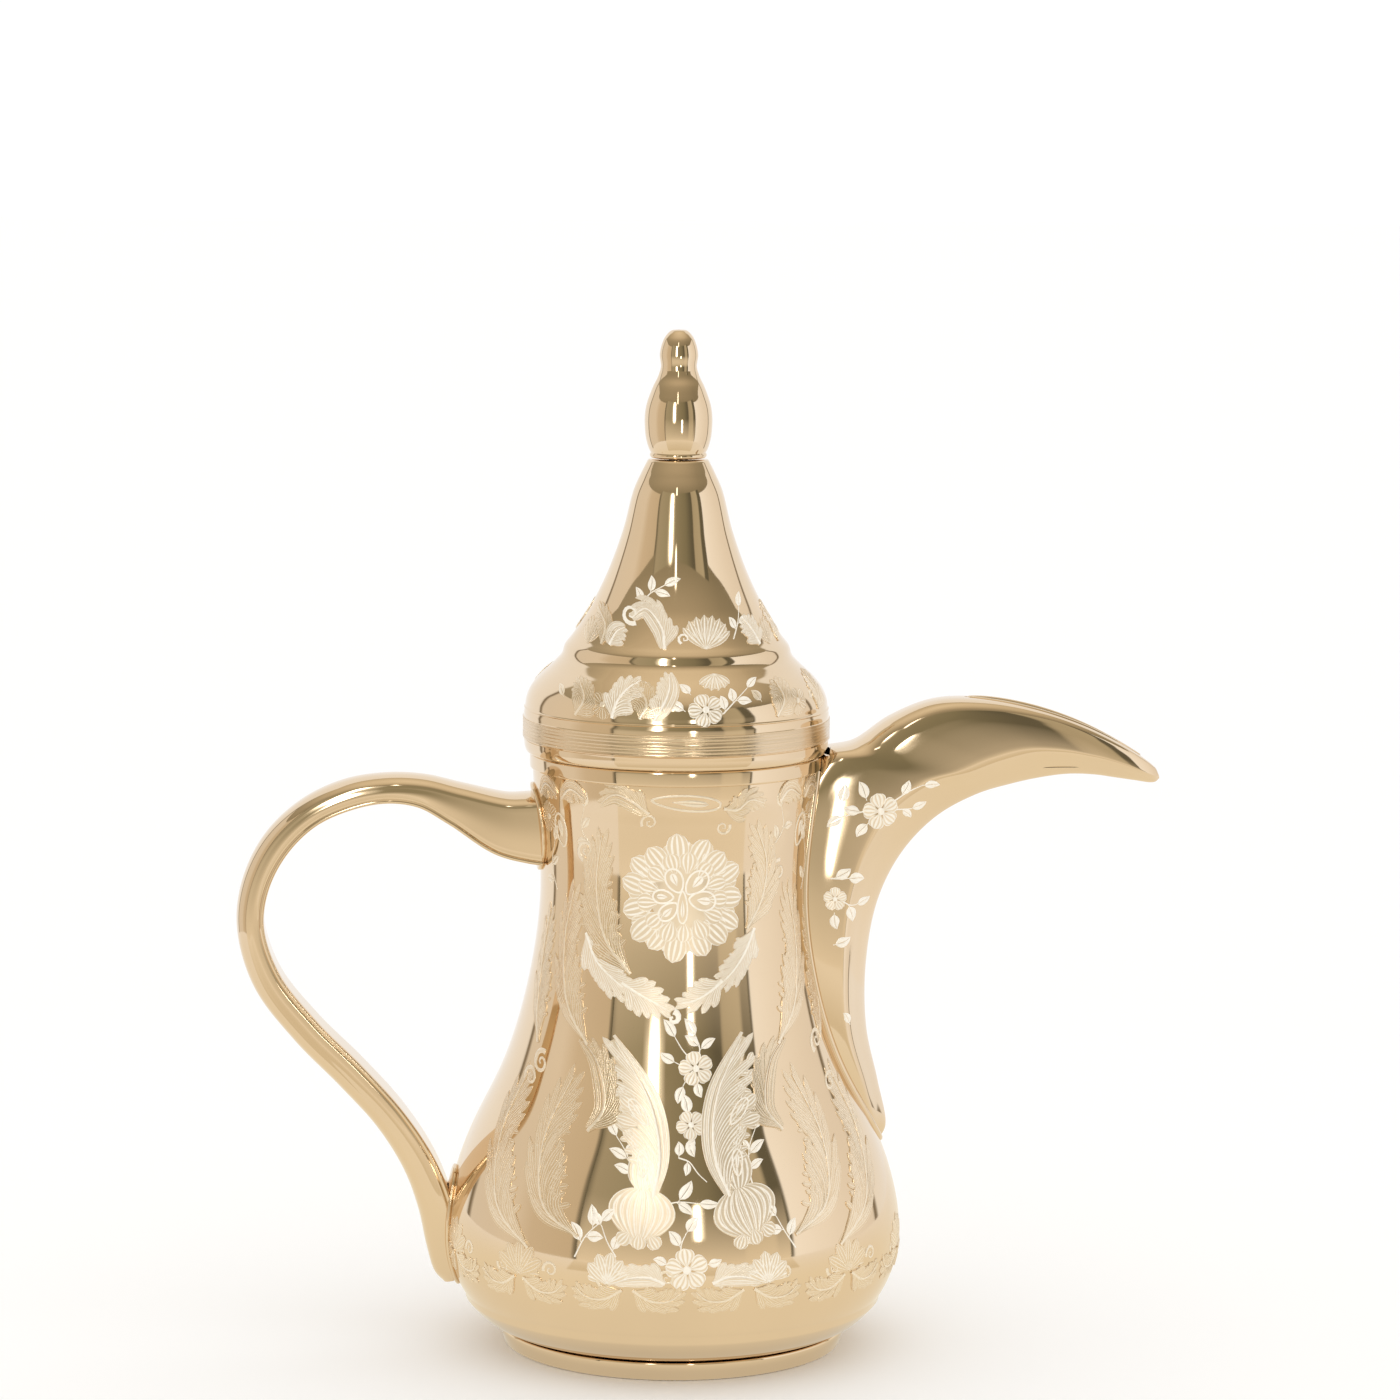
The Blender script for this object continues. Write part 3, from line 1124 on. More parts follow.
def main_panel():
    """The big panel on the pot's front and back."""
    p = drawn_on(BODY)
    fine, broad, soft = [], tall_leaves(), []
    broad += moved(rosette(17.6), on(BODY, -0.6, 133.2))
    # garland below the rosette: two swags of curled leaves
    broad += acanthus(p((-29, 122), (-25.5, 115), (-19, 109.5), (-12.5, 105.5)), 3.6, 4.6, 6, 3.2, 0.45, 2)
    broad += acanthus(p((-17.5, 109.5), (-12.5, 106.6), (-8, 104.4), (-3.2, 101.8)), 4.2, 4.4, 5, 3.2, 0.5, 1)
    broad += moved(scroll(1.9, 1.0, 2.2), on(BODY, -3.0, 102.4), 262)
    broad += acanthus(p((20.5, 124), (17, 117), (12.8, 111.8), (7.5, 107.6)), 3.4, 3.4, 6, 2.6, 0.45, 2)
    broad += acanthus(p((10.5, 110.4), (6.5, 107.2), (2.0, 105.0), (-2.8, 104.4)), 3.4, 3.8, 5, 2.8, 0.5, 1)
    # faint leaves beside and above the rosette
    soft += acanthus(p((-15, 112), (-22.5, 121), (-25.5, 135), (-23.5, 152)), 5.4, 5.0, 11, 3.2, 0.4, 3)
    soft += acanthus(p((18, 124), (23, 132), (24.5, 142), (20, 154)), 4.6, 4.6, 9, 3.0, 0.4, 3)
    soft += moved(loop(4.8, 19.5, 0.7), on(BODY, -9.6, 160.4), -94)
    soft += acanthus(p((-10, 156.5), (-15, 160), (-20, 161.5), (-25, 158)), 2.6, 3.2, 6, 2.2, 0.45, 2)
    soft += acanthus(p((10.5, 158), (14.5, 157.5), (18.5, 160), (24, 158.5)), 3.2, 3.0, 6, 2.2, 0.45, 2)
    soft += moved(scroll(2.4, 1.4, 1.0), on(BODY, -12, 153), 30)
    soft += moved(scroll(2.2, 1.4, 1.0), on(BODY, 12.5, 153.5), 200)
    # sprays between the two tall leaves
    fine += sprig(p((2.6, 88.6), (-0.6, 92), (-2.6, 95.2)), [(0.98, 2, 6.4, 3.0)])
    fine += sprig(p((3.2, 88.6), (4.0, 92.5), (3.0, 95.6)),
                  [(0.5, -52, 5.4, 2.6), (0.6, 44, 5.2, 2.8), (0.98, 12, 6.2, 2.9)])
    fine += sprig(p((2.0, 87.6), (-0.4, 87.8), (-2.6, 88.8)), [(0.98, -6, 5.2, 3.0)])
    fine += sprig(p((2.0, 86.6), (0.4, 84.6), (-0.6, 83.0)), [(0.98, 12, 5.6, 3.0)])
    fine += moved(leaf(4.8, 2.8), on(BODY, 3.0, 84.0), 196)
    fine += moved(flower(4.9), on(BODY, 2.9, 87.2), 12)
    fine += moved(leaf(6.2, 3.4), on(BODY, 0.6, 75.2), 14)
    fine += moved(flower(4.2), on(BODY, 1.2, 72.8), 30)
    fine += moved(leaf(5.6, 3.0), on(BODY, 0.4, 69.6), 196)
    fine += moved(leaf(4.6, 2.4), on(BODY, 2.4, 69.6), 150)
    fine += sprig(p((-2.4, 64.6), (0.4, 63.6), (2.8, 60.6), (5.2, 58.4)),
                  [(0.0, 110, 4.6, 2.8), (0.25, -70, 4.2, 2.2)])
    fine += sprig(p((-7.0, 52.6), (-2.4, 53.4), (2.6, 53.0)),
                  [(0.45, 52, 7.0, 3.4), (0.4, -46, 5.6, 2.8), (0.98, 4, 6.2, 2.8)])
    fine += sprig(p((-14.5, 56.3), (-15.4, 62), (-17.4, 66.6), (-19.4, 69.4)),
                  [(0.3, 60, 5.6, 3.0), (0.55, 44, 6.2, 3.0), (0.62, -40, 3.8, 1.8), (0.98, -12, 6.6, 3.0)])
    fine += sprig(p((18.6, 55.6), (17.2, 61), (17.6, 67), (19.4, 71)),
                  [(0.35, -64, 5.0, 2.6), (0.58, -46, 6.2, 3.0), (0.66, 40, 3.8, 1.8), (0.98, 6, 6.2, 2.8)])
    fine += sprig(p((-32, 37.5), (-28.6, 43.5), (-24.0, 47.6)),
                  [(0.35, 58, 6.2, 3.6), (0.5, -52, 5.4, 3.2), (0.75, 52, 6.6, 3.4), (0.98, 0, 5.8, 3.0)])
    fine += sprig(p((-20, 38.5), (-22.5, 42.5), (-24, 46.5)), [(0.2, -60, 5, 3), (0.98, 20, 5.0, 3)])
    fine += sprig(p((31, 39.5), (27.4, 44.5), (25.0, 48.4)),
                  [(0.35, -58, 5.6, 3.2), (0.6, 56, 5.2, 3.0), (0.98, 0, 5.4, 3)])
    fine += sprig(p((-2.2, 38.6), (-2.0, 42.4), (-0.6, 45.4)), [(0.4, 40, 5.6, 3.2), (0.98, -12, 5.6, 3.4)])
    fine += moved(flower(6.0, 5, 8), on(BODY, -0.5, 35.4))
    fine += moved(leaf(4.4, 2.6), on(BODY, -5.6, 36.8), 70) + moved(leaf(4.4, 2.6), on(BODY, 4.8, 36.8), -72)
    # low swags either side of the bottom flower, ending in a cluster of upright lobes
    for side in (-1, 1):
        q = drawn_on(BODY, side)
        low = q((6.5, 31.6), (10.5, 33.2), (15.5, 33.0), (20.5, 31.4))
        broad += acanthus(low, 2.4 if side < 0 else 3.4, 3.4 if side < 0 else 2.4, 7, 2.6, 0.5, 2)
        for lean in (-62, -34, -8, 18, 46):
            tuft = ruffle(9.0 - 0.03 * abs(lean), 3.8, 0.02)
            broad += moved(tuft, on(BODY, side * 22.5, 31.0), side * -lean)
    return fine, broad, soft


def frieze(first):
    """Faint clusters of lobes and low swags along half of the pattern's foot, from a bearing on."""
    soft = []
    clusters = 12
    for k in range(clusters // 2):
        around = first + 360 * (k + 0.5) / clusters
        for side in (-1, 1):
            q = drawn_on(BODY, side)
            swag = acanthus(q((1.5, 29.5), (6.5, 26.6), (11.5, 26.8), (15.5, 30.0)), 3.0 if side < 0 else 3.2,
                            3.2 if side < 0 else 3.0, 6, 2.6, 0.45, 2)
            soft += wrapped(BODY, around, swag)
            curl = moved(scroll(2.4, 1.4, 1.2), on(BODY, side * 8.5, 32.4), 90 - side * 75, mirror=side < 0)
            soft += wrapped(BODY, around, curl)
        if abs((around + 90 + 90) % 180 - 90) > 40:
            for lean in (-60, -30, 0, 30, 60):
                soft += wrapped(BODY, around, moved(ruffle(9.2, 4.0, 0.01), on(BODY, 0, 30.5), lean))
    return soft


def side_leaves(panel):
    """Tall faint leaves beside one panel, on the flanks of belly and neck, and a border under the mouth."""
    soft = []
    for side in (-1, 1):
        p = drawn_on(BODY, side)
        out, back = (7.4, 4.6) if side < 0 else (4.6, 7.4)
        one = acanthus(p((31, 43), (42, 50), (42.5, 66), (31, 86)), back, out, 12, 3.8, 0.42, 3)
        one += acanthus(p((47, 38), (60, 48), (61, 66), (50, 84)), back, out, 12, 3.8, 0.42, 3)
        neck = p((28, 92), (35.5, 102), (37.5, 118), (33, 136))
        one += acanthus(neck, back * 0.8, out * 0.8, 11, 3.2, 0.42, 3)
        one += acanthus(p((48, 90), (50, 100), (49, 114), (45, 128)), back * 0.7, out * 0.7, 10, 3.0, 0.42, 3)
        one += acanthus(p((28, 70), (23, 76), (25, 88), (31, 94)), back * 0.6, out * 0.6, 8, 2.8, 0.45, 2)
        one += moved(scroll(3.4, 1.5, 1.8), on(BODY, side * 44, 88), 60, mirror=side < 0)
        one += moved(scroll(3.0, 1.5, 1.5), on(BODY, side * 30, 142), 80, mirror=side > 0)
        one += moved(scroll(3.0, 1.5, 1.5), on(BODY, side * 53, 80), 20, mirror=side > 0)
        one += moved(loop(5.6, 9.5, 0.7), on(BODY, side * 38, 145), side * -20)
        soft += wrapped(BODY, panel, one)
        small = sprig(p((27, 146), (31, 151), (30, 157)),
                      [(0.2, 60, 4.6, 2.6), (0.5, -60, 4.6, 2.6), (0.98, 0, 5, 2.8)])
        small += sprig(p((42, 132), (45, 139), (43, 146)),
                       [(0.2, 60, 5, 2.8), (0.5, -60, 5, 2.8), (0.98, 0, 5.4, 3)])
        small += moved(flower(4.6), on(BODY, side * 46, 152.5), 20)
        soft += wrapped(BODY, panel, small)
    for a in (-46, -34, 34, 46):
        spine = drawn_on(BODY)((a - 5, 158.5), (a - 1, 161.6), (a + 5, 159))
        soft += wrapped(BODY, panel, acanthus(spine, 2.4, 3.2, 5, 2.2, 0.5, 1))
    return soft


def lid_panel():
    fine, broad, soft = [], [], []
    p = drawn_on(LID)
    # above the step
    broad += acanthus(p((-5.5, 200.6), (-6.0, 206), (-10.5, 211), (-15.0, 208)), 2.8, 3.6, 7, 2.4, 0.5, 2)
    broad += moved(scroll(3.0, 1.4, 1.7), on(LID, -13.5, 207.2), 120)
    broad += acanthus(p((-22, 201), (-19.6, 204.6), (-16.5, 206)), 2.8, 3.2, 6, 2.2, 0.5, 2)
    fine += sprig(p((-13, 210), (-9.4, 214.8), (-5.2, 217.2)),
                  [(0.3, 58, 5.0, 2.5), (0.62, 46, 5.2, 2.5), (0.7, -48, 5.0, 2.5), (0.98, -6, 5.6, 2.6)])
    broad += moved(shell(15.5, 10.5, 8), on(LID, 6.0, 200.8), -6)
    broad += moved(scroll(1.8, 1.3, 1.0), on(LID, -0.8, 202.2), 60)
    fine += sprig(p((14.5, 203), (16.6, 207.5), (17.4, 211)),
                  [(0.3, 50, 4.6, 2.4), (0.5, -50, 5, 2.6), (0.98, 0, 5, 2.6)])
    broad += acanthus(p((24, 201), (21.4, 205), (18, 208.5)), 3.0, 3.2, 6, 2.2, 0.5, 2)
    # the dome
    broad += acanthus(p((-21, 182.8), (-19.5, 187), (-16.0, 190.6), (-11.5, 193)), 3.8, 4.6, 7, 3.2, 0.5, 2)
    broad += acanthus(p((-9.0, 182.6), (-6.6, 186.4), (-4.6, 190.5), (-4.4, 195)), 3.2, 2.6, 7, 2.6, 0.45, 2)
    fine += moved(flower(5.0, 5, 20), on(LID, 5.2, 185.6))
    fine += moved(leaf(5.6, 3.2), on(LID, -0.4, 185.2), 62) + moved(leaf(4.8, 2.8), on(LID, 1.2, 189.4), 40)
    fine += sprig(p((10, 184.4), (13.4, 187.4), (17.6, 190.6)),
                  [(0.1, 60, 5.0, 2.8), (0.4, 52, 5.0, 2.8), (0.5, -52, 5.0, 2.8), (0.98, 0, 5.4, 2.8)])
    broad += moved(shell(10, 6.0, 6), on(LID, 8.0, 194.4), 180)
    for a in (27, -33):
        soft += acanthus(p((a, 182.8), (a + 3, 187), (a, 192.4)), 3.8, 3.8, 7, 2.8, 0.45, 2)
        soft += moved(flower(4.2), on(LID, a + 9, 186.2), a)
        soft += moved(leaf(5, 2.8), on(LID, a - 5, 187), 40) + moved(leaf(5, 2.8), on(LID, a + 15, 186), -50)
        soft += moved(shell(11, 8.5, 7), on(LID, a + 2, 200.8), 0)
        soft += acanthus(p((a + 8, 201), (a + 9, 206), (a + 3, 211)), 3.0, 3.0, 6, 2.4, 0.5, 2)
        soft += acanthus(p((a + 20, 183), (a + 22, 187), (a + 18, 192.6)), 3.8, 3.8, 7, 2.8, 0.45, 2)
    return fine, broad, soft


def on_spout(skin, blades, side):
    """Blades drawn in the plane of the spout's length and height, laid on one flank."""
    placed = []
    for b in blades:
        spots = []
        for (x, z), lift in zip(b["flat"].reshape(-1, 2), b["lift"].ravel()):
            hit, normal, _, _ = skin.ray_cast(Vector((x, side * 60, z)) * MM, Vector((0, -side, 0)))
            spots.append(np.array(hit) / MM + np.array(normal) * lift if hit else (x, 0.0, z))
        spots = np.array(spots).reshape(*b["flat"].shape[:2], 3)
        placed.append((spots[:, ::side], {**b, "u": b["u"][:, ::side]}))
    return placed


def spout_ornament(skin):
    design = moved(flower(5.2, 5, 14), (56.6, 153.0)) + moved(flower(3.4, 5, 0), (43.8, 128.6))
    for path, leaves in [
        ([(52.4, 153.2), (47.4, 152.0), (43.6, 151.2)], [(0.15, -28, 5.4, 3.0), (0.7, 20, 5.8, 3.2)]),
        ([(60.0, 155.6), (64.4, 158.4), (68.6, 160.2)], [(0.3, 30, 5.0, 2.8), (0.98, -24, 5.2, 2.5)]),
        ([(60.8, 153.4), (65.4, 153.2)], [(0.4, -40, 4.2, 2.3), (0.98, 24, 5.0, 2.7)]),
        ([(42.4, 134.4), (46.0, 134.2), (47.6, 134.4)], [(0.2, 34, 5.6, 3.2), (0.9, -14, 5.2, 3.4)]),
        ([(45.6, 128.2), (48.0, 126.8), (50.0, 126.6)], [(0.5, -50, 5.2, 3.2), (0.98, 22, 4.8, 2.6)]),
    ]:
        design += sprig(path, leaves)
    for length, width, at, turn in [
        (5.8, 3.2, (52.6, 156.0), 22), (5.2, 3.2, (53.2, 149.8), 138), (6.0, 3.4, (45.2, 155.0), -12),
        (4.8, 3.0, (43.6, 124.8), 190), (5.4, 3.2, (43.4, 115.6), -68), (4.2, 2.2, (48.6, 92.6), 30),
    ]:
        design += moved(leaf(length, width), at, turn)
    placed = []
    for side in (-1, 1):
        placed += on_spout(skin, design, side)
    return placed


def both_panels(surface, blades):
    return [spot for panel in (-90, 90) for spot in wrapped(surface, panel, blades)]


def build_ornament(skin):
    fine, broad, soft = main_panel()
    lid_fine, lid_broad, lid_soft = lid_panel()
    for name, placed, material, body in [
        ("etched_sprays", both_panels(BODY, fine), ETCHED_LEAF, "pot"),
        ("etched_panels", both_panels(BODY, broad), ETCHED, "pot"),
        ("etched_panel_borders", both_panels(BODY, soft), ETCHED_SOFT, "pot"),
        ("etched_side_leaves_front", side_leaves(-90), ETCHED_SOFT, "pot"),
        ("etched_side_leaves_back", side_leaves(90), ETCHED_SOFT, "pot"),
        ("etched_frieze_right", frieze(-90), ETCHED_SOFT, "pot"),
        ("etched_frieze_left", frieze(90), ETCHED_SOFT, "pot"),
        ("etched_spout_sprays", spout_ornament(skin), ETCHED_LEAF, "pot"),
        ("lid_etched_sprays", both_panels(LID, lid_fine), ETCHED_LEAF, "lid"),
        ("lid_etched_leaves", both_panels(LID, lid_broad), ETCHED, "lid"),
        ("lid_etched_sides", both_panels(LID, lid_soft), ETCHED_SOFT, "lid"),
    ]:
        finish_piece(ornament(name, placed, material), body, "engraved_metal")


# ------------------------------------------------------------------ assembly

def finish_piece(obj, body, slot, *nodes):
    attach(obj, body)
    if nodes:
        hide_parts(*nodes)
    return obj


def build_pot():
    finish_piece(build_body(), "pot", "engraved_metal", "body_shell")
    finish_piece(build_foot(), "pot", "polished_metal", "foot_ring")
    finish_piece(build_base(), "pot", "inner_metal", "base_disc")
    finish_piece(build_neck_ring(), "pot", "polished_metal", "neck_ring")
    spout, skin = build_spout()
    finish_piece(spout, "pot", "engraved_metal", "spout_left_half", "spout_right_half")
    finish_piece(build_spout_lip(skin), "pot", "polished_metal")
    finish_piece(build_spout_hem(), "pot", "polished_metal")
    finish_piece(build_handle(), "pot", "polished_metal", "handle_left_half", "handle_right_half")
    for name, node, centre, half_height, half_width in [
        ("handle_top_lip", "handle_top_pad", 147.5, 12.4, 11.2),
        ("handle_bottom_lip", "handle_bottom_pad", 33.5, 17.5, 9.3),
    ]:
        finish_piece(build_pad(name, centre, half_height, half_width, 0.9), "pot", "polished_metal", node)
    return skin


def build_lid():
    finish_piece(build_lid_skin(), "lid", "engraved_metal", "lid_dome", "lid_spire")
    finish_piece(build_turned_band(), "lid", "polished_metal")
    finish_piece(build_collar(), "lid", "inner_metal", "lid_collar")
    finish_piece(build_knob(), "lid", "polished_metal", "finial_knob")
    for node in ("finial_stud", "finial_washer", "finial_nut"):
        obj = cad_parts[node]
        obj.data.materials.clear()
        obj.data.materials.append(INNER)


# ------------------------------------------------------------------ camera, light and stage

# The photograph's view: a long lens about 1.4 m away, 7.5 degrees down, 4 degrees towards the handle side.
SENSOR_WIDTH = 36
IMAGE_WIDTH = 1400
FOCAL_PIXELS = 4990
CAMERA_DISTANCE = 1385
CAMERA_HEIGHT = 365.3
CAMERA_SIDE = 4.0
CAMERA_TURN = CAMERA_SIDE + 0.272
CAMERA_PITCH = 7.5
CAMERA_ROLL = 0.45


def add_camera():
    bearing, turn, pitch, roll = map(math.radians, (CAMERA_SIDE, CAMERA_TURN, CAMERA_PITCH, CAMERA_ROLL))
    data = bpy.data.cameras.new("camera")
    data.sensor_width = SENSOR_WIDTH
    data.lens = FOCAL_PIXELS / IMAGE_WIDTH * SENSOR_WIDTH
    data.clip_start = 0.05
    data.clip_end = 50
    camera = bpy.data.objects.new("camera", data)
    bpy.context.scene.collection.objects.link(camera)
    ahead = math.cos(pitch)
    forward = Vector((math.sin(turn) * ahead, math.cos(turn) * ahead, -math.sin(pitch)))
    right = Vector((math.cos(turn), -math.sin(turn), 0))
    up = right.cross(forward)
    right, up = right * math.cos(roll) + up * math.sin(roll), up * math.cos(roll) - right * math.sin(roll)
    place = Matrix((right, up, -forward)).transposed().to_4x4()
    spot = Vector((-math.sin(bearing) * CAMERA_DISTANCE, -math.cos(bearing) * CAMERA_DISTANCE, CAMERA_HEIGHT))
    place.translation = spot * MM
    camera.matrix_world = place
    bpy.context.scene.camera = camera


# The light tent round the pot, as mirrors see it. Each stop is a bearing from the camera's direction, in
# degrees, or a distance from the axis, and the colour there.
WHITE = (1.0, 1.0, 1.0)
FRAME = (0.26, 0.22, 0.16)
DARK = (0.15, 0.14, 0.10)
WALL_STOPS = [
    (-180, WHITE), (-124, WHITE), (-123, FRAME), (-120, FRAME),
    (-119, (0.84, 0.79, 0.72)), (-85, (0.86, 0.80, 0.71)), (-72, (0.74, 0.65, 0.52)),
    (-48.5, (0.69, 0.60, 0.46)), (-47.5, DARK), (59, DARK), (60, (1.10, 1.11, 1.13)),
    (75, (1.05, 1.04, 1.03)), (100, (0.97, 0.94, 0.90)), (118, (0.93, 0.89, 0.84)),
    (119, FRAME), (122, FRAME), (123, WHITE), (180, WHITE),
]
UPPER_LOW_STOPS = [
    (-180, WHITE), (-124, WHITE), (-122, (0.40, 0.36, 0.27)), (-60, (0.34, 0.30, 0.21)),
    (0, (0.28, 0.25, 0.17)), (70, (0.26, 0.23, 0.16)), (121, (0.36, 0.32, 0.23)), (123, WHITE), (180, WHITE),
]
UPPER_HIGH_STOPS = [
    (-180, WHITE), (-124, WHITE), (-122, (0.66, 0.58, 0.43)), (0, (0.62, 0.54, 0.40)),
    (121, (0.60, 0.52, 0.38)), (123, WHITE), (180, WHITE),
]
SCREEN_LOW_STOPS = [(-180, (0.94, 0.87, 0.73)), (180, (0.88, 0.80, 0.65))]
SCREEN_STOPS = [
    (-46, (0.24, 0.22, 0.16)), (-43, (0.46, 0.42, 0.31)), (-28, (0.42, 0.39, 0.28)),
    (-4, (0.34, 0.31, 0.21)), (18, (0.26, 0.24, 0.16)), (30, DARK), (34, DARK),
    (35.5, (0.50, 0.45, 0.33)), (50, (0.54, 0.49, 0.36)), (52, DARK), (58, DARK),
]
CEILING_STOPS = [(0, (0.90, 0.81, 0.64)), (260, (0.80, 0.71, 0.55)), (560, (0.62, 0.54, 0.40))]
FLOOR_STOPS = [
    (0, (0.60, 0.55, 0.46)), (52, (0.70, 0.65, 0.55)), (64, (0.90, 0.84, 0.70)), (150, (0.95, 0.89, 0.74)),
    (300, (0.97, 0.93, 0.84)), (560, (1.0, 0.98, 0.95)),
]
FRONT_FLOOR_STOPS = [
    (0, (0.86, 0.79, 0.62)), (260, (0.80, 0.72, 0.56)), (400, (0.88, 0.81, 0.67)), (560, (0.98, 0.92, 0.80)),
]
TENT_RADIUS = 560
SOFTBOX_TOP = 540
TENT_HEIGHT = 1000
SCREEN_START, SCREEN_END = -46, 58
CAMERA_BEARING = -94
ALL_ROUND = (-180, 180)
FROM_AXIS = (0, TENT_RADIUS)
# Soft upright strips of light: name, start and end bearing, lowest and highest point, strength.
STRIPS = [
    ("strip_right", 8.5, 16.0, 118, 270, 15.0),
    ("strip_left", -22.0, -6.0, 215, 600, 16.0),
    ("strip_lid", -6.0, 0.0, 545, 720, 6.0),
]
STRIP_FADE = [(0.0, 0.0), (0.25, 0.05), (0.4, 0.5), (0.5, 1.0), (0.6, 0.5), (0.75, 0.05), (1.0, 0.0)]


def light_material(name, strength):
    """An empty material with an emission and an output node."""
    material = bpy.data.materials.new(name)
    material.use_nodes = True
    nodes, links = material.node_tree.nodes, material.node_tree.links
    nodes.clear()
    light = nodes.new("ShaderNodeEmission")
    light.inputs["Strength"].default_value = strength
    return material, nodes, links, light, nodes.new("ShaderNodeOutputMaterial")


def glow(name, stops, span, higher=None, rise=1.0):
    """Emission whose colour follows the uv's first axis through the stops, up to a second row of stops."""
    material, nodes, links, light, out = light_material(name, 1.0)
    axes = pattern_axes(nodes, links)
    low, high = span

    def row(stops):
        shares = [((at - low) / (high - low), (*color, 1.0)) for at, color in stops]
        return ramp(nodes, links, axes["X"], shares).outputs["Color"]

    color = row(stops)
    if higher:
        climb = calculated(nodes, links, "MULTIPLY", axes["Y"], rise, clamp=True)
        mix = nodes.new("ShaderNodeMixRGB")
        links.new(climb.outputs["Value"], mix.inputs["Fac"])
        links.new(color, mix.inputs["Color1"])
        links.new(row(higher), mix.inputs["Color2"])
        color = mix.outputs["Color"]
    links.new(color, light.inputs["Color"])
    links.new(light.outputs["Emission"], out.inputs["Surface"])
    return material


def halo(name, start, end, strength):
    """Light added to whatever lies behind its card, strongest in the middle and fading to the edges."""
    material, nodes, links, light, out = light_material(name, strength)
    axes = pattern_axes(nodes, links)
    fade = [((start + (end - start) * t + 180) / 360, (v, v * 0.97, v * 0.92, 1.0)) for t, v in STRIP_FADE]
    across = ramp(nodes, links, axes["X"], fade)
    up = ramp(nodes, links, axes["Y"],
              [(0.0, level(0.0)), (0.15, level(1.0)), (0.85, level(1.0)), (1.0, level(0.0))])
    both = nodes.new("ShaderNodeMixRGB")
    both.blend_type = "MULTIPLY"
    both.inputs["Fac"].default_value = 1.0
    links.new(across.outputs["Color"], both.inputs["Color1"])
    links.new(up.outputs["Color"], both.inputs["Color2"])
    links.new(both.outputs["Color"], light.inputs["Color"])
    clear = nodes.new("ShaderNodeBsdfTransparent")
    added = nodes.new("ShaderNodeAddShader")
    links.new(light.outputs["Emission"], added.inputs[0])
    links.new(clear.outputs["BSDF"], added.inputs[1])
    links.new(added.outputs["Shader"], out.inputs["Surface"])
    return material


def mirror_card(name, points, faces, material, uv):
    """A card that only mirror reflections see."""
    card = make_mesh(name, points, faces, material, uv=uv)
    for kind in ("camera", "diffuse", "transmission", "volume_scatter", "shadow"):
        setattr(card, "visible_" + kind, False)
    return card


def wall_card(name, start, end, radius, low, high, material, columns=120):
    """An upright card on an arc between two bearings from the camera's direction."""
    bearing = np.linspace(start, end, columns)
    angle = np.radians(bearing + CAMERA_BEARING)
    x, y = radius * np.cos(angle), radius * np.sin(angle)
    rows = [np.stack([x, y, np.full(columns, z)], 1) for z in (low, high)]
    uv = [np.stack([(bearing + 180) / 360, np.full(columns, v)], 1) for v in (0.0, 1.0)]
    return mirror_card(name, np.vstack(rows), grid_faces(2, columns), material, np.vstack(uv))


def disc_card(name, start, end, inner, outer, height, material, columns=97, rows=12):
    """A flat ring, or part of one, that lies level."""
    angle = np.radians(np.linspace(start, end, columns) + CAMERA_BEARING)
    points, uv = [], []
    for radius in np.linspace(inner, outer, rows):
        points.append(np.stack([radius * np.cos(angle), radius * np.sin(angle), np.full(columns, height)], 1))
        uv.append(np.stack([np.full(columns, radius / TENT_RADIUS), np.zeros(columns)], 1))
    return mirror_card(name, np.vstack(points), grid_faces(rows, columns), material, np.vstack(uv))


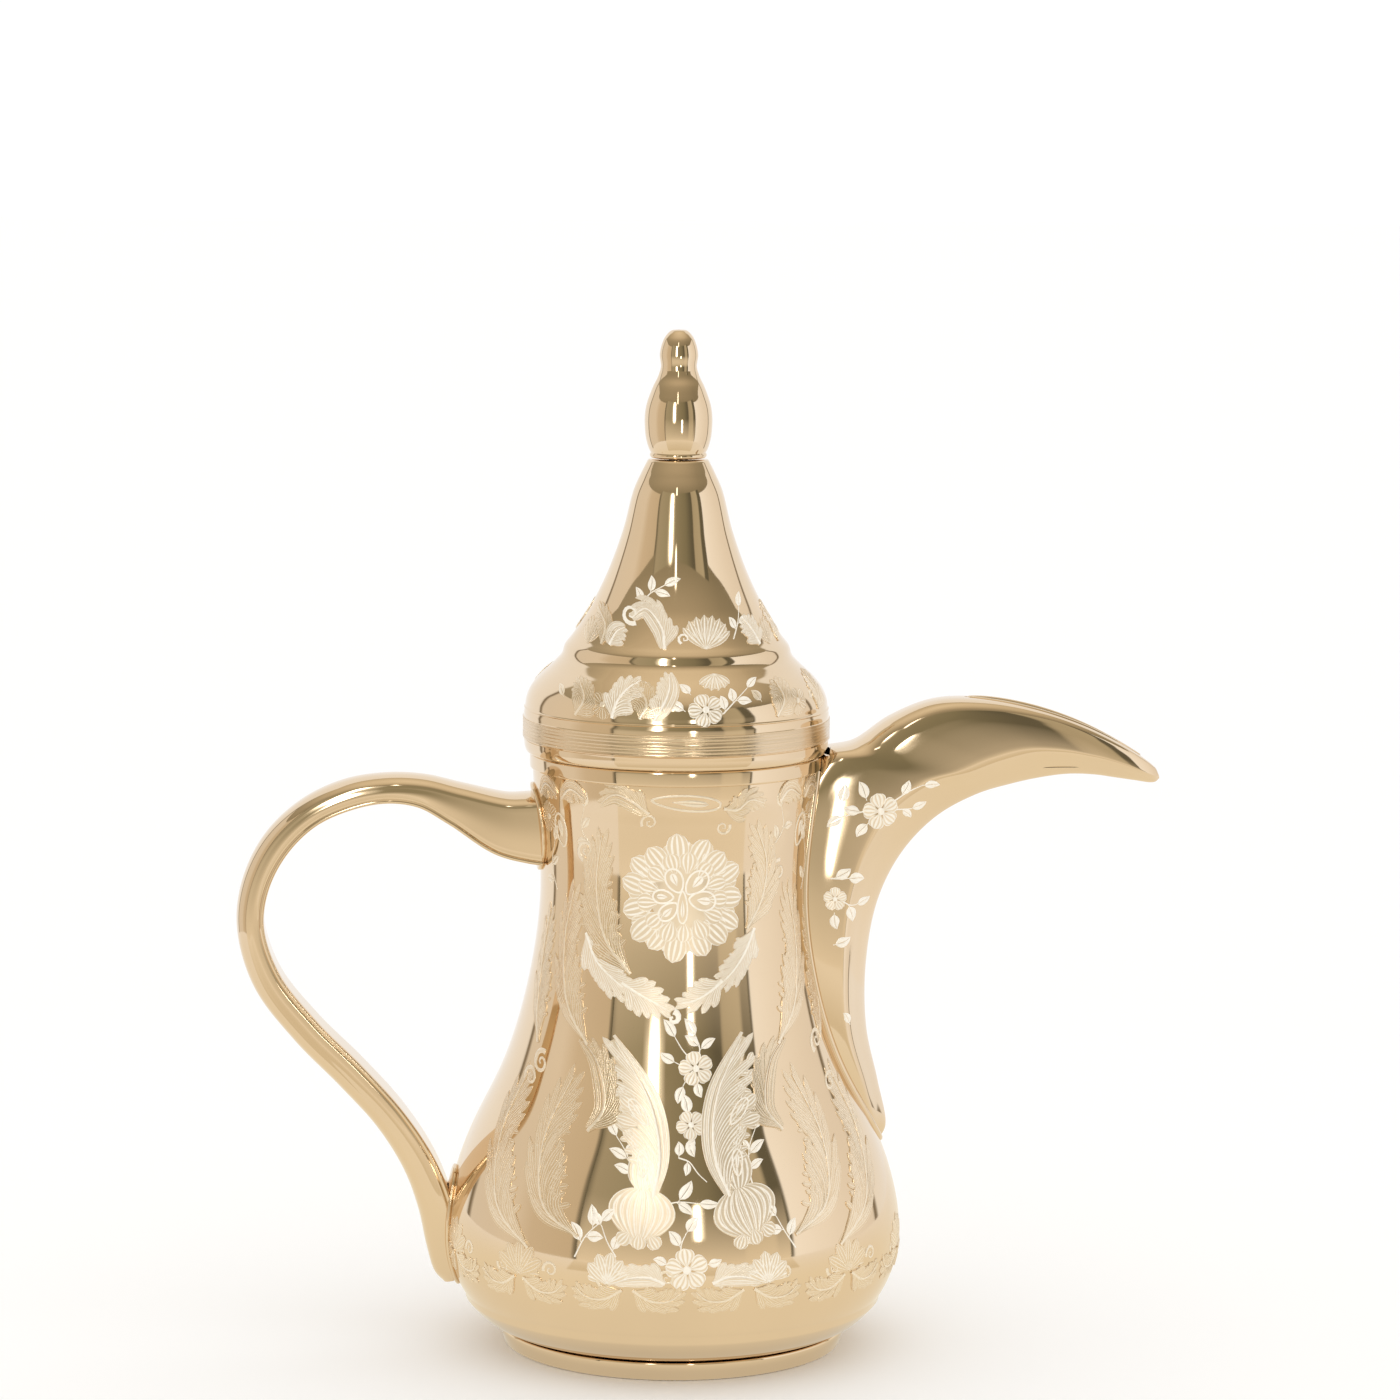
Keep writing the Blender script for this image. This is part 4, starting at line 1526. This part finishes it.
def add_floor():
    material, _, _, shader = new_material("pale_floor")
    shader.inputs["Base Color"].default_value = (0.985, 0.98, 0.972, 1.0)
    shader.inputs["Roughness"].default_value = 0.8
    shader.inputs["Specular IOR Level"].default_value = 0.1
    size, height = 9000, -0.05
    corners_at = [(-size, -size, height), (size, -size, height), (size, size, height), (-size, size, height)]
    make_mesh("floor", corners_at, [(0, 1, 2, 3)], material, smooth=False)


def add_tent():
    wall = glow("tent_wall", WALL_STOPS, ALL_ROUND)
    wall_card("tent_wall", *ALL_ROUND, TENT_RADIUS, 0, SOFTBOX_TOP, wall, 361)
    upper = glow("tent_upper", UPPER_LOW_STOPS, ALL_ROUND, higher=UPPER_HIGH_STOPS)
    wall_card("tent_upper", *ALL_ROUND, TENT_RADIUS, SOFTBOX_TOP, TENT_HEIGHT, upper, 361)
    screen = glow("front_screen", SCREEN_LOW_STOPS, ALL_ROUND, higher=SCREEN_STOPS, rise=2.2)
    wall_card("front_screen", SCREEN_START, SCREEN_END, TENT_RADIUS - 3, 0, SOFTBOX_TOP + 60, screen)
    ceiling = glow("tent_ceiling", CEILING_STOPS, FROM_AXIS)
    disc_card("tent_ceiling", *ALL_ROUND, 1, TENT_RADIUS, TENT_HEIGHT, ceiling)
    disc_card("tent_floor", *ALL_ROUND, 1, TENT_RADIUS, 0.1, glow("tent_floor", FLOOR_STOPS, FROM_AXIS))
    front = glow("tent_floor_front", FRONT_FLOOR_STOPS, FROM_AXIS)
    disc_card("tent_floor_front", SCREEN_START - 1, SCREEN_END, 230, TENT_RADIUS, 0.3, front)
    for name, start, end, low, high, strength in STRIPS:
        wall_card(name, start, end, TENT_RADIUS - 8, low, high, halo(name, start, end, strength), 24)


def add_lights():
    world = bpy.data.worlds.new("studio")
    world.use_nodes = True
    world.node_tree.nodes["Background"].inputs["Color"].default_value = (1.0, 0.995, 0.985, 1.0)
    world.node_tree.nodes["Background"].inputs["Strength"].default_value = 1.04
    bpy.context.scene.world = world
    bpy.context.scene.view_settings.view_transform = "Standard"
    bpy.context.scene.view_settings.look = "None"


add_camera()
add_floor()
add_tent()
add_lights()
spout_skin = build_pot()
build_lid()
build_ornament(spout_skin)

bpy.context.view_layer.update()
